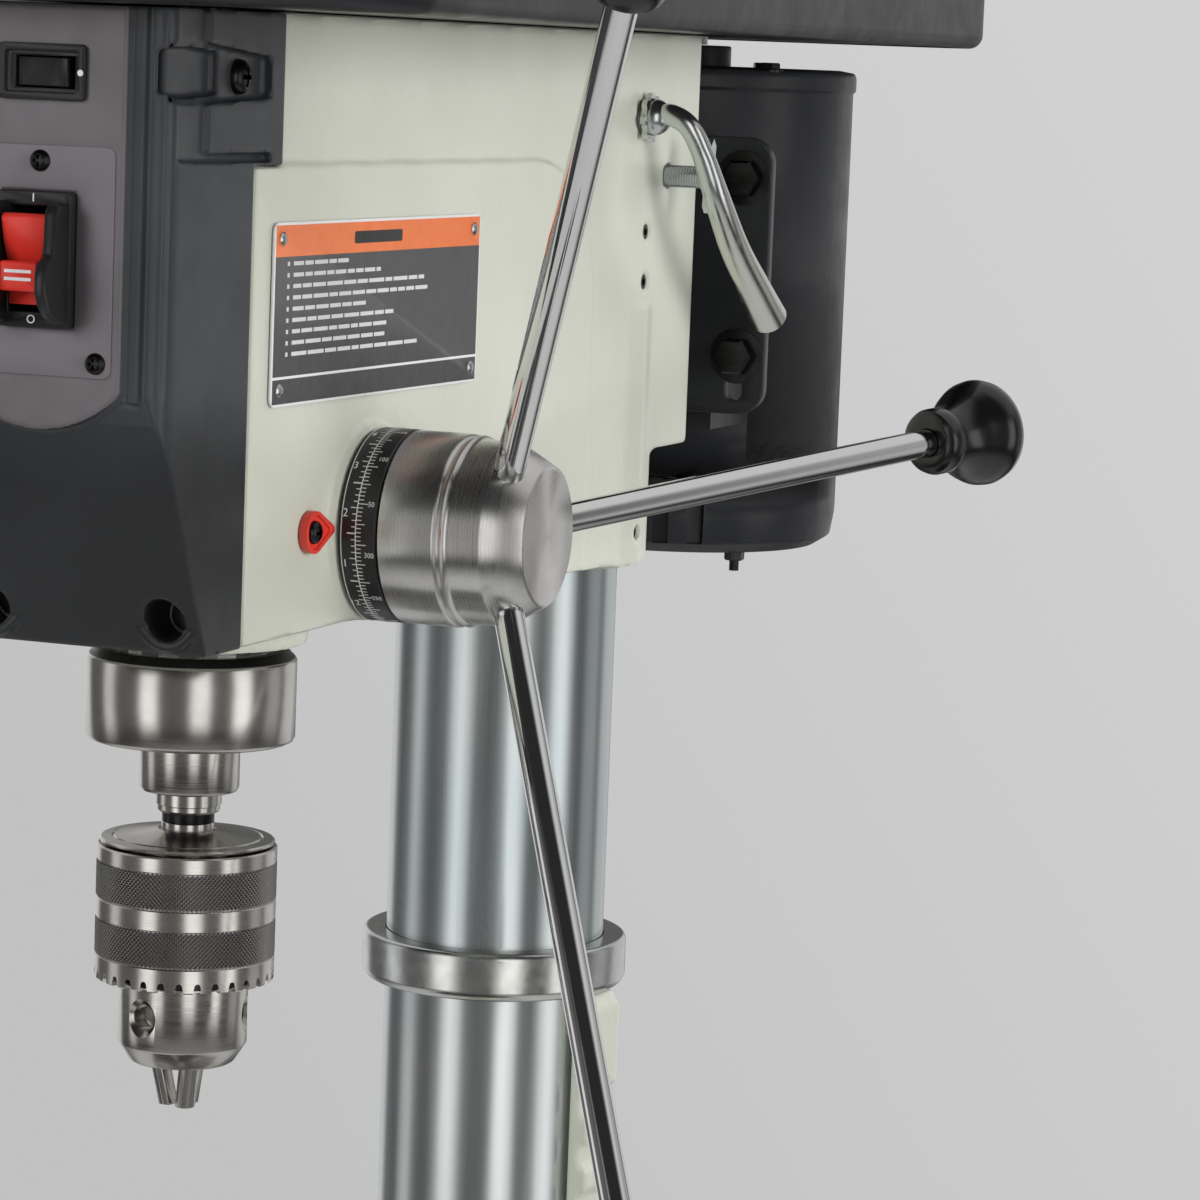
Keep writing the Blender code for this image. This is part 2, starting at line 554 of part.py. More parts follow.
# ---- motor on its slide ----
def make_motor():
    slide = pivot("motor_slide_axis", (0, SPINDLE_Y + 0.345, BAR_Z))
    y0, y1 = SPINDLE_Y + 0.342, SPINDLE_Y + 0.348
    outline = rounded((-0.068, CHUCK_Z + 0.157), (0.068, CHUCK_Z + 0.261), 0.010)
    mesh = outline_mesh("motor_plate", [outline], y1 - y0)
    plate = add("motor_plate", mesh, "black_paint", (0, (y0 + y1) / 2, 0))
    plate.rotation_euler = (math.pi / 2, 0, 0)
    for side in (-1, 1):
        cut(plate, box(f"plate_slot_{side}", (0.0565 * side - 0.0035, y0 - 0.01, CHUCK_Z + 0.162),
                       (0.0565 * side + 0.0035, y1 + 0.01, CHUCK_Z + 0.186)))
    body = turned("motor_body", [
        (0.0, 0.1894), (0.0600, 0.1894), (MOTOR_R - 0.001, 0.1880), (MOTOR_R, 0.1860), (MOTOR_R, 0.1810),
        (MOTOR_R - 0.0012, 0.1806), (MOTOR_R - 0.0012, 0.0140), (MOTOR_R - 0.003, 0.0040), (0.0580, 0.0),
        (0.0, 0.0)], (0, MOTOR_Y, MOTOR_Z), material="black_paint", segments=32)
    foot = box("motor_foot", (-0.046, y1 + GAP, CHUCK_Z + 0.150), (0.046, MOTOR_Y - 0.030, CHUCK_Z + 0.256))
    boss_top = MOTOR_TOP + 0.008
    join(body, foot, rod("shaft_boss", (0, MOTOR_Y, MOTOR_TOP - 0.01), (0, MOTOR_Y, boss_top), 0.0166))
    cut(body, rod("winding_space", (0, MOTOR_Y, MOTOR_Z + 0.030), (0, MOTOR_Y, MOTOR_Z + 0.165), 0.049),
        rod("shaft_hole", (0, MOTOR_Y, MOTOR_Z + 0.160), (0, MOTOR_Y, boss_top + 0.01), 0.0040))
    bars = []
    for side, name in ((-1, "slide_bar_left"), (1, "slide_bar_right")):
        bars.append(rod(name, (BAR_X * side, SPINDLE_Y + 0.201, BAR_Z),
                        (BAR_X * side, y0 - GAP, BAR_Z), 0.0075, "bright_steel"))
    shaft_axis = pivot("motor_shaft_axis", (0, MOTOR_Y, PULLEY_Z), slide)
    shaft_low = boss_top + GAP - PULLEY_Z
    profile = pulley_profile(PULLEY_STEPS, 0.0) + [(0.0070, 0.0), (0.0070, shaft_low), (0.0, shaft_low)]
    profile.remove((0.0, 0.0))
    pulley = turned("motor_pulley", profile, (0, MOTOR_Y, PULLEY_Z), material="aluminium", segments=16)
    carry(slide, plate, body, *bars)
    carry(shaft_axis, pulley)

    boss_y, boss_z = SPINDLE_Y + 0.2535, CHUCK_Z + 0.268
    lever_axis = pivot("tension_lever_axis", (0.050, boss_y, boss_z))
    path = [(0.034, boss_y, boss_z), (0.0500, boss_y, boss_z), (0.0505, boss_y, boss_z)]
    radii = [0.0055, 0.0055, 0.0075]
    boss = Vector((0, boss_y, boss_z))
    route = [boss + Vector(step) for step in ((0.0560, 0, 0), (0.0800, 0.003, 0.002),
                                              (0.0835, 0.028, -0.022), (0.0850, 0.056, -0.070))]
    for step in range(13):
        t = step / 12
        weights = ((1 - t) ** 3, 3 * t * (1 - t) ** 2, 3 * t * t * (1 - t), t ** 3)
        path.append(tuple(sum((w * p for w, p in zip(weights, route)), Vector())))
        radii.append(0.0052 + 0.0040 * max(0.0, t - 0.70) / 0.30 + 0.0018 * max(0.0, 0.1 - t) / 0.1)
    lever = tube("tension_lever", path, radii, "zinc_steel")
    carry(lever_axis, lever)

    wing_axis = pivot("wing_screw_axis", (0.052, SPINDLE_Y + 0.280, BAR_Z))
    wing = rod("wing_screw", (0.0380, SPINDLE_Y + 0.280, BAR_Z), (0.0700, SPINDLE_Y + 0.280, BAR_Z),
               0.0040, "zinc_steel")
    join(wing, box("wing_blade", (0.0660, SPINDLE_Y + 0.2785, BAR_Z - 0.013),
                   (0.0720, SPINDLE_Y + 0.2815, BAR_Z + 0.013)))
    carry(wing_axis, wing)


# ---- quill, spindle and chuck ----
def make_quill():
    quill_axis = pivot("quill_axis", (0, SPINDLE_Y, CHUCK_Z + 0.075))
    sleeve = turned("quill_sleeve", [
        (QUILL_R - 0.001, 0.272), (QUILL_R, 0.271), (QUILL_R, 0.0775), (0.0203, 0.0775), (0.0203, 0.0925),
        (0.0128, 0.0935), (0.0128, 0.272)], (0, SPINDLE_Y, CHUCK_Z), material="bright_steel",
        ring=True, segments=24)
    cut(sleeve, box("rack_flat", (-0.010, SPINDLE_Y + 0.0224, CHUCK_Z + 0.110),
                    (0.010, SPINDLE_Y + 0.030, CHUCK_Z + 0.245)))
    collar = turned("quill_collar", [
        (QUILL_R + GAP, 0.1035), (0.0295, 0.1035), (COLLAR_R, 0.1005), (COLLAR_R, 0.0758), (0.0315, 0.0750),
        (0.0165, 0.0750), (0.0165, 0.0772), (QUILL_R + GAP, 0.0772)], (0, SPINDLE_Y, CHUCK_Z),
        material="bright_steel", ring=True, segments=32)
    bearing = turned("quill_bearing", [
        (0.0123, 0.0922), (0.0200, 0.0922), (0.0200, 0.0782), (0.0123, 0.0782)], (0, SPINDLE_Y, CHUCK_Z),
        material="bright_steel", ring=True, segments=16)
    spindle_axis = pivot("spindle_axis", (0, SPINDLE_Y, CHUCK_Z + 0.058), quill_axis)
    spindle = turned("spindle", [
        (0.0, 0.392), (0.0085, 0.392), (0.0090, 0.391), (0.0090, 0.262), (0.0120, 0.260), (0.0120, 0.0765),
        (0.0155, 0.0765), (0.0155, 0.0590), (0.0150, 0.0585), (0.0102, 0.0585), (0.0102, 0.0527),
        (0.0098, 0.0522), (0.0078, 0.0522), (0.0078, 0.0490), (0.0082, 0.0485), (0.0082, 0.0225),
        (0.0, 0.0225)], (0, SPINDLE_Y, CHUCK_Z), material="bright_steel", segments=20)
    body = turned("chuck_body", [
        (0.0, 0.0448), (0.0235, 0.0442), (0.0262, 0.0434), (0.0262, 0.0424), (0.0208, 0.0423),
        (0.0208, 0.0002), (0.02005, 0.0), (0.02005, -0.0208), (0.0160, -0.0265),
        (0.0, -0.0265)], (0, SPINDLE_Y, CHUCK_Z), material="bright_steel", segments=24)
    cut(body, rod("arbor_bore", (0, SPINDLE_Y, CHUCK_Z + 0.0222), (0, SPINDLE_Y, CHUCK_Z + 0.06), 0.0086))
    sleeve_axis = pivot("chuck_sleeve_axis", (0, SPINDLE_Y, CHUCK_Z + 0.020), spindle_axis)
    ring = turned("chuck_sleeve", [
        (0.0211, 0.0420), (0.0270, 0.0420), (CHUCK_R, 0.0412), (CHUCK_R, 0.0), (0.0211, 0.0)],
        (0, SPINDLE_Y, CHUCK_Z), material="bright_steel", ring=True, segments=32)
    carry(quill_axis, sleeve, collar, bearing)
    carry(spindle_axis, spindle, body)
    carry(sleeve_axis, ring)
    key_turn = math.atan2(-0.97, -0.24)
    for index in range(3):
        turn = key_turn + math.radians(120 * index)
        out = Vector((math.cos(turn), math.sin(turn), 0))
        place = Vector((0, SPINDLE_Y, CHUCK_Z - 0.0105))
        cut(body, rod(f"key_hole_{index}", place + out * 0.0155, place + out * 0.030, 0.0042, segments=12))
        turn += math.radians(60)
        out = Vector((math.cos(turn), math.sin(turn), 0))
        slant = out * math.sin(JAW_TILT) + Z_AXIS * math.cos(JAW_TILT)
        tip = Vector((0, SPINDLE_Y, CHUCK_Z - 0.0407)) + out * 0.0039
        jaw_axis = pivot(f"jaw_{index + 1}_axis", tip, spindle_axis)
        jaw = rod(f"chuck_jaw_{index + 1}", tip, tip + slant * 0.036, JAW_R, "bright_steel", segments=16)
        carry(jaw_axis, jaw)
        cut(body, rod(f"jaw_bore_{index}", tip, tip + slant * 0.0495, JAW_R + 0.0003, segments=16))


# ---- feed hub, scale and handles ----
def make_feed():
    axis = pivot("feed_axis", (0, HUB_Y, HUB_Z))
    hub = turned("feed_hub", [
        (0.0, 0.1030), (0.0219, 0.1028), (0.0285, 0.0910), (0.0285, 0.0810), (HUB_R, 0.0782), (HUB_R, 0.0584),
        (0.0215, 0.0584), (0.0215, 0.0460), (0.0, 0.0460)],
        (0, HUB_Y, HUB_Z), X_AXIS, "bright_steel", segments=32)
    cut(hub, rod("shaft_socket", (0.040, HUB_Y, HUB_Z), (0.0700, HUB_Y, HUB_Z), 0.0093))
    scale = turned("scale_ring", [(0.0218, 0.0581), (HUB_R, 0.0581), (HUB_R, 0.0460), (0.0218, 0.0460)],
                   (0, HUB_Y, HUB_Z), X_AXIS, "black_plastic", ring=True, segments=32)
    scale_axis = pivot("scale_ring_axis", (0.052, HUB_Y, HUB_Z), axis)
    shaft = turned("pinion_shaft", [
        (0.0, 0.0695), (0.0090, 0.0695), (0.0090, 0.0180), (0.0112, 0.0175), (0.0112, -0.0175),
        (0.0090, -0.0180), (0.0090, -0.0600), (0.0, -0.0600)], (0, HUB_Y, HUB_Z), X_AXIS,
        "bright_steel", segments=16)
    carry(scale_axis, scale)
    carry(axis, hub, shaft)
    for index in range(3):
        phase = ROD_PHASE + math.radians(120 * index)
        out = Vector((math.sin(ROD_TILT), math.cos(ROD_TILT) * math.sin(phase),
                      math.cos(ROD_TILT) * math.cos(phase)))
        root = Vector((0.0850, HUB_Y, HUB_Z))
        cut(hub, rod(f"rod_socket_{index}", root + out * 0.0210, root + out * 0.060, ROD_R + GAP,
                     segments=12))
        bar = rod(f"feed_rod_{index + 1}", root + out * 0.0214, root + out * 0.2270, ROD_R, "chrome")
        knob = turned(f"feed_knob_{index + 1}", [
            (0.0, 0.2545), (0.0120, 0.2525), (0.0185, 0.2440), (0.0160, 0.2375), (0.0110, 0.2290),
            (0.0103, 0.2180), (0.0085, 0.2165), (ROD_R + GAP, 0.2165), (ROD_R + GAP, 0.2274), (0.0, 0.2274)],
            root, out, "black_plastic", segments=16)
        carry(axis, bar, knob)


# ---- table, bracket and rack ----
def make_rack():
    pitch, depth = 0.0188, 0.0034
    inner, outer = COLUMN_R + 0.0006, COLUMN_R + 0.0090
    profile = [(inner, RACK_HIGH), (inner, RACK_LOW), (outer, RACK_LOW), (outer, RACK_HIGH - 0.005),
               (outer - 0.004, RACK_HIGH)]
    rack = add("height_rack", outline_mesh("height_rack", [profile], 0.0200), "head_paint")
    gap = [(outer - depth, 0.3 * pitch), (outer - depth, 0.6 * pitch), (outer + depth, 1.0 * pitch),
           (outer + depth, -0.1 * pitch)]
    gaps = add("tooth_gaps", outline_mesh("tooth_gaps", [gap], 0.0300))
    row = gaps.modifiers.new("row", "ARRAY")
    row.count = int((RACK_HIGH - RACK_LOW - 0.030) / pitch)
    row.use_relative_offset = False
    row.use_constant_offset = True
    row.constant_offset_displace = (0, pitch, 0)
    gaps.location = (0, 0, RACK_LOW + 0.010)
    for piece in (rack, gaps):
        piece.rotation_euler = (math.pi / 2, 0, RACK_TURN)
    cut(rack, gaps)
    axis = pivot("table_swing_axis", (0, 0, RACK_LOW))
    carry(axis, rack)
    return axis


def make_bracket(swing):
    axis = pivot("table_height_axis", (0, 0, BRACKET_Z), swing)
    top = BRACKET_Z + BRACKET_HEIGHT
    bracket = turned("table_bracket", [
        (COLUMN_R + GAP, top), (BRACKET_R - 0.003, top), (BRACKET_R, top - 0.003),
        (BRACKET_R, BRACKET_Z + 0.003), (BRACKET_R - 0.003, BRACKET_Z), (COLUMN_R + GAP, BRACKET_Z)],
        (0, 0, 0), material="head_paint", ring=True, segments=24)
    worm_box = rod("worm_housing", (0.046, 0.0, CRANK_Z), (0.0820, 0.0, CRANK_Z), 0.020, segments=16)
    arm = rod("bracket_arm", (0, -0.050, TILT_Z), (0, -0.1220, TILT_Z), 0.036, segments=20)
    ears = box("clamp_ears", (-0.018, 0.050, BRACKET_Z + 0.020), (0.018, 0.082, BRACKET_Z + 0.090))
    join(bracket, worm_box, arm, ears)
    groove = box("rack_groove", (-0.0125, -0.0106, -0.2), (0.0125, 0.0106, 0.2))
    groove.location = (0.0380 * math.cos(RACK_TURN), 0.0380 * math.sin(RACK_TURN), BRACKET_Z + 0.055)
    groove.rotation_euler = (0, 0, RACK_TURN)
    cut(bracket, groove,
        rod("bracket_bore", (0, 0, BRACKET_Z - 0.01), (0, 0, top + 0.01), COLUMN_R + GAP, segments=32),
        box("clamp_split", (-0.0020, 0.038, BRACKET_Z - 0.01), (0.0020, 0.090, top + 0.01)),
        rod("clamp_screw_bore", (-0.030, 0.068, BRACKET_Z + 0.055),
            (0.0120, 0.068, BRACKET_Z + 0.055), 0.0055),
        rod("crank_bore", (0.0560, 0.0, CRANK_Z), (0.090, 0.0, CRANK_Z), 0.0063),
        rod("tilt_bore", (0, -0.090, TILT_Z), (0, -0.130, TILT_Z), 0.0085))

    crank_axis = pivot("table_crank_axis", (0.090, 0, CRANK_Z), axis)
    end = Vector((0.1030, -0.055, CRANK_Z - 0.065))
    crank = rod("table_crank", (0.0575, 0, CRANK_Z), (0.1010, 0, CRANK_Z), 0.0060, "zinc_steel")
    web = tube("crank_web", [(0.0930, 0, CRANK_Z), tuple(end)], [0.0075, 0.0065], None)
    join(crank, web, rod("crank_pin", end, end + X_AXIS * 0.045, 0.0038))
    grip = turned("crank_grip", [(0.0, 0.0480), (0.0080, 0.0470), (0.0105, 0.0400), (0.0090, 0.0150),
                                 (0.0105, 0.0080), (0.0041, 0.0080), (0.0041, 0.0454), (0.0, 0.0454)],
                  end, X_AXIS, "black_plastic", segments=20)
    grip_axis = pivot("crank_grip_axis", end, crank_axis)

    lock_axis = pivot("column_lock_axis", (-0.030, 0.068, BRACKET_Z + 0.055), axis)
    lock = rod("column_lock_handle", (-0.0400, 0.068, BRACKET_Z + 0.055),
               (0.0100, 0.068, BRACKET_Z + 0.055), 0.0052, "zinc_steel")
    join(lock, tube("column_lock_arm", [(-0.0360, 0.068, BRACKET_Z + 0.055),
                                        (-0.0440, 0.075, BRACKET_Z + 0.090),
                                        (-0.0520, 0.082, BRACKET_Z + 0.122)],
                    [0.0050, 0.0050, 0.0075], None))
    carry(axis, bracket)
    carry(crank_axis, crank)
    carry(grip_axis, grip)
    carry(lock_axis, lock)
    return axis


def make_table(height):
    tilt = pivot("table_tilt_axis", (0, -0.122, TILT_Z), height)
    arm = rod("table_arm", (0, -0.1223, TILT_Z), (0, SPINDLE_Y + 0.02, TILT_Z), 0.036, "head_paint",
              0.030, 40)
    collar_low = TILT_Z - 0.030
    join(arm, rod("table_collar", (0, SPINDLE_Y, collar_low), (0, SPINDLE_Y, TILT_Z + 0.040), 0.040,
                  segments=24),
         rod("tilt_bolt", (0, -0.0925, TILT_Z), (0, -0.130, TILT_Z), 0.0080))
    cut(arm, rod("table_stem_bore", (0, SPINDLE_Y, TILT_Z - 0.04), (0, SPINDLE_Y, TILT_Z + 0.05),
                 0.0274, segments=24),
        rod("table_lock_bore", (-0.050, SPINDLE_Y, TILT_Z), (-0.020, SPINDLE_Y, TILT_Z), 0.0055))
    turn = pivot("table_turn_axis", (0, SPINDLE_Y, TABLE_TOP), tilt)
    low, high = (-TABLE_HALF, SPINDLE_Y - TABLE_HALF), (TABLE_HALF, SPINDLE_Y + TABLE_HALF)
    table = slab_z("work_table", [rounded(low, high, 0.022)], TABLE_TOP - TABLE_THICK, TABLE_TOP, "bare_iron")
    rim = 0.012
    cut(table, box("table_pocket", (rim - TABLE_HALF, SPINDLE_Y - TABLE_HALF + rim, TABLE_TOP - 0.03),
                   (TABLE_HALF - rim, SPINDLE_Y + TABLE_HALF - rim, TABLE_TOP - rim)))
    join(table, rod("table_hub", (0, SPINDLE_Y, TILT_Z + 0.0405), (0, SPINDLE_Y, TABLE_TOP - 0.010), 0.048,
                    segments=20),
         rod("table_stem", (0, SPINDLE_Y, TILT_Z - 0.028), (0, SPINDLE_Y, TABLE_TOP - 0.010), 0.0270,
             segments=24))
    cut(table, rod("table_centre_hole", (0, SPINDLE_Y, TILT_Z - 0.04), (0, SPINDLE_Y, TABLE_TOP + 0.01),
                   0.0160, segments=16))
    for index in range(4):
        slot = slab_z(f"table_slot_{index}", [rounded((0.055, -0.0065), (0.120, 0.0065), 0.0064)],
                      TABLE_TOP - 0.03, TABLE_TOP + 0.01)
        slot.location.y = SPINDLE_Y
        slot.rotation_euler = (0, 0, math.radians(90 * index))
        cut(table, slot)
    lock_axis = pivot("table_lock_axis", (-0.045, SPINDLE_Y, TILT_Z), tilt)
    lock = rod("table_lock_handle", (-0.0600, SPINDLE_Y, TILT_Z), (-0.0282, SPINDLE_Y, TILT_Z), 0.0052,
               "zinc_steel")
    points = [(-0.0560, SPINDLE_Y, TILT_Z), (-0.0640, SPINDLE_Y - 0.020, TILT_Z - 0.018),
              (-0.0720, SPINDLE_Y - 0.042, TILT_Z - 0.040)]
    join(lock, tube("table_lock_arm", points, [0.0050, 0.0050, 0.0075], None))
    carry(tilt, arm)
    carry(turn, table)
    carry(lock_axis, lock)


make_base()
make_column()
make_head()
make_front_cover()
make_switches()
make_trim()
make_guard()
make_drive()
make_motor()
make_quill()
make_feed()
make_table(make_bracket(make_rack()))
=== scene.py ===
"""Looks of the floor-standing drill press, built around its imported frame.

Shapes are given in millimetres from the chuck datum: x to the operator's right of the spindle
axis, y behind it, and z above the lower edge of the chuck's toothed band.
"""
import math
import random

import bmesh
import bpy
from mathutils import Matrix, Vector, noise


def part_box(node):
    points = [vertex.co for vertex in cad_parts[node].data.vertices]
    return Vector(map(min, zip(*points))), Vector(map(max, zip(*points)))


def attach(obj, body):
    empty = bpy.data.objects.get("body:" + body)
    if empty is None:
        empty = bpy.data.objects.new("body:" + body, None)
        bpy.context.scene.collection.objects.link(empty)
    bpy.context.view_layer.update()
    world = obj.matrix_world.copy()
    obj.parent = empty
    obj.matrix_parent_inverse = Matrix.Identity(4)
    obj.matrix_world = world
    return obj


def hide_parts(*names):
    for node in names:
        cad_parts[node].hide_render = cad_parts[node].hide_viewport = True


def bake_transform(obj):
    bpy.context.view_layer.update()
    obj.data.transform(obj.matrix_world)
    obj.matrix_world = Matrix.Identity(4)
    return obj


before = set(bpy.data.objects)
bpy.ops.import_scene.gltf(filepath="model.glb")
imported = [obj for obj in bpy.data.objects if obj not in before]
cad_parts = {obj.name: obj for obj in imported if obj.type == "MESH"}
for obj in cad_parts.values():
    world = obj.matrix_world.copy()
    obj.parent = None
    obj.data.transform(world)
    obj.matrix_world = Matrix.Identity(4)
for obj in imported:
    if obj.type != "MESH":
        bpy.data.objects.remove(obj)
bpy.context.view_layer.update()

MM = 0.001
SCENE = bpy.context.scene
X, Y, Z = Vector((1, 0, 0)), Vector((0, 1, 0)), Vector((0, 0, 1))
RANDOM = random.Random(7)


def middle(node):
    low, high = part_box(node)
    return (low + high) / 2


DATUM = Vector((middle("chuck_sleeve").x, middle("chuck_sleeve").y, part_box("chuck_sleeve")[0].z))


def local(point):
    """A place in metres as millimetres from the chuck datum."""
    return (Vector(point) - DATUM) / MM


def node_box(node):
    low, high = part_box(node)
    return local(low), local(high)


COLUMN = local(middle("column_tube"))
HUB = local(middle("scale_ring"))
FLOOR = local((0, 0, 0)).z


# ---- shapes: each returns a bmesh in local millimetres ----
def lathe(profile, origin, axis=Z, segments=96, closed=False):
    """Turn (radius, height) points, listed from the top down the outer side, about an axis."""
    bm = bmesh.new()
    turn = Z.rotation_difference(Vector(axis)).to_matrix()
    origin = Vector(origin)
    rings = []
    for radius, height in profile:
        count = 1 if radius < 1e-6 else segments
        ring = []
        for step in range(count):
            angle = 2 * math.pi * step / segments
            spot = Vector((radius * math.cos(angle), radius * math.sin(angle), height))
            ring.append(bm.verts.new(origin + turn @ spot))
        rings.append(ring)
    pairs = list(zip(rings, rings[1:]))
    if closed:
        pairs.append((rings[-1], rings[0]))
    for upper, lower in pairs:
        for step in range(segments):
            after = (step + 1) % segments
            corners = [upper[step % len(upper)], lower[step % len(lower)],
                       lower[after % len(lower)], upper[after % len(upper)]]
            unique = list(dict.fromkeys(corners))
            if len(unique) > 2:
                bm.faces.new(unique)
    return bm


def eased(points, radius, steps=3):
    """Round the inner corners of an open profile with small curves."""
    result = [points[0]]
    for before, corner, after in zip(points, points[1:], points[2:]):
        before, corner, after = Vector(before), Vector(corner), Vector(after)
        start = corner + (before - corner).normalized() * min(radius, (before - corner).length * 0.45)
        end = corner + (after - corner).normalized() * min(radius, (after - corner).length * 0.45)
        for step in range(steps + 1):
            t = step / steps
            result.append(tuple(start * (1 - t) ** 2 + corner * 2 * t * (1 - t) + end * t * t))
    return result + [points[-1]]


def prism(outline, low, high, along="z"):
    """A flat outline given thickness along one axis; the other two axes keep their order."""
    bm = bmesh.new()

    def spot(a, b, depth):
        return {"x": (depth, a, b), "y": (a, depth, b), "z": (a, b, depth)}[along]

    base = [bm.verts.new(spot(a, b, low)) for a, b in outline]
    bm.faces.new(base)
    made = bmesh.ops.extrude_face_region(bm, geom=bm.faces[:])
    moved = [v for v in made["geom"] if isinstance(v, bmesh.types.BMVert)]
    shift = {"x": X, "y": Y, "z": Z}[along] * (high - low)
    bmesh.ops.translate(bm, vec=shift, verts=moved)
    bmesh.ops.recalc_face_normals(bm, faces=bm.faces)
    return bm


def block(low, high):
    return prism([(low[0], low[1]), (high[0], low[1]), (high[0], high[1]), (low[0], high[1])], low[2], high[2])


def arc(centre, radius, start, end, steps):
    """Points along an arc, angles in degrees."""
    angles = [math.radians(start + (end - start) * i / steps) for i in range(steps + 1)]
    return [(centre[0] + radius * math.cos(a), centre[1] + radius * math.sin(a)) for a in angles]


def rounded(low, high, radius, steps=6):
    """A rectangle's outline with round corners."""
    (x0, y0), (x1, y1) = low, high
    corners = (((x1 - radius, y1 - radius), 0), ((x0 + radius, y1 - radius), 90),
               ((x0 + radius, y0 + radius), 180), ((x1 - radius, y0 + radius), 270))
    return [p for centre, start in corners for p in arc(centre, radius, start, start + 90, steps)]


def pipe(points, radii, sides=32, closed_ends=True):
    """A round bar along points, with its own radius at each."""
    bm = bmesh.new()
    points = [Vector(p) for p in points]
    rings = []
    across = None
    for index, place in enumerate(points):
        ahead = points[min(index + 1, len(points) - 1)] - points[max(index - 1, 0)]
        ahead.normalize()
        if across is None:
            across = ahead.orthogonal().normalized()
        across = (across - ahead * across.dot(ahead)).normalized()
        other = ahead.cross(across)
        ring = [bm.verts.new(place + (across * math.cos(a) + other * math.sin(a)) * radii[index])
                for a in (2 * math.pi * step / sides for step in range(sides))]
        rings.append(ring)
    for lower, upper in zip(rings, rings[1:]):
        for step in range(sides):
            after = (step + 1) % sides
            bm.faces.new((lower[step], lower[after], upper[after], upper[step]))
    if closed_ends:
        bm.faces.new(list(reversed(rings[0])))
        bm.faces.new(rings[-1])
    return bm


def merged(*shapes):
    """Several shapes in one bmesh."""
    result = bmesh.new()
    for shape in shapes:
        mesh = bpy.data.meshes.new("part")
        shape.to_mesh(mesh)
        shape.free()
        result.from_mesh(mesh)
        bpy.data.meshes.remove(mesh)
    return result


def moved(shape, matrix):
    shape.transform(matrix)
    return shape


def smooth_route(points, steps=6):
    """Points along a smooth curve through the given points."""
    points = [Vector(p) for p in points]
    padded = [2 * points[0] - points[1]] + points + [2 * points[-1] - points[-2]]
    route = []
    for p0, p1, p2, p3 in zip(padded, padded[1:], padded[2:], padded[3:]):
        for step in range(steps):
            t = step / steps
            route.append(0.5 * (2 * p1 + (p2 - p0) * t + (2 * p0 - 5 * p1 + 4 * p2 - p3) * t * t
                                + (3 * p1 - p0 - 3 * p2 + p3) * t ** 3))
    return route + [points[-1]]


# ---- pieces ----
def to_object(name, shape):
    shape.transform(Matrix.Translation(DATUM) @ Matrix.Scale(MM, 4))
    mesh = bpy.data.meshes.new(name)
    shape.to_mesh(mesh)
    shape.free()
    obj = bpy.data.objects.new(name, mesh)
    SCENE.collection.objects.link(obj)
    return obj


def piece(name, shape, body, look, replaces=(), smooth=35.0):
    """A finished piece that rides on a body."""
    obj = shape if isinstance(shape, bpy.types.Object) else to_object(name, shape)
    obj.name = name
    obj.data.materials.clear()
    obj.data.materials.append(look)
    obj.data.shade_smooth()
    obj.data.set_sharp_from_angle(angle=math.radians(smooth))
    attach(obj, body)
    if replaces:
        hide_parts(*replaces)
    return obj


def settle(obj):
    """Replace an object's mesh by what its modifiers make of it."""
    bpy.context.view_layer.update()
    mesh = bpy.data.meshes.new_from_object(obj.evaluated_get(bpy.context.evaluated_depsgraph_get()))
    obj.modifiers.clear()
    obj.data = mesh
    return obj


def carve(obj, cutters, operation="DIFFERENCE"):
    """Cut shapes out of an object, or join them to it."""
    helpers = [to_object("cutter", cutter) for cutter in cutters]
    for helper in helpers:
        step = obj.modifiers.new("cut", "BOOLEAN")
        step.operation = operation
        step.solver = "EXACT"
        step.object = helper
    settle(obj)
    for helper in helpers:
        bpy.data.objects.remove(helper, do_unlink=True)
    return obj


def bevel(obj, width, segments=3, angle=35.0):
    """Round the edges of a piece; the width is in millimetres."""
    step = obj.modifiers.new("edges", "BEVEL")
    step.width = width * MM
    step.segments = segments
    step.limit_method = "ANGLE"
    step.angle_limit = math.radians(angle)
    step.harden_normals = True
    return obj


def node_copy(node):
    """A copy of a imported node's mesh, to be worked on."""
    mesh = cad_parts[node].data.copy()
    obj = bpy.data.objects.new(node + "_copy", mesh)
    SCENE.collection.objects.link(obj)
    return obj


def cast(obj, voxel, passes):
    """Give a sharp solid the soft edges of a casting or moulding; the voxel is in millimetres."""
    remesh = obj.modifiers.new("skin", "REMESH")
    remesh.mode = "VOXEL"
    remesh.voxel_size = voxel * MM * 1.0
    soft = obj.modifiers.new("soften", "SMOOTH")
    soft.factor = 0.5
    soft.iterations = passes
    return settle(obj)


def dress(look, *nodes):
    """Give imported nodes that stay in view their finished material."""
    for node in nodes:
        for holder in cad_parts[node].material_slots:
            holder.link = "OBJECT"
            holder.material = look


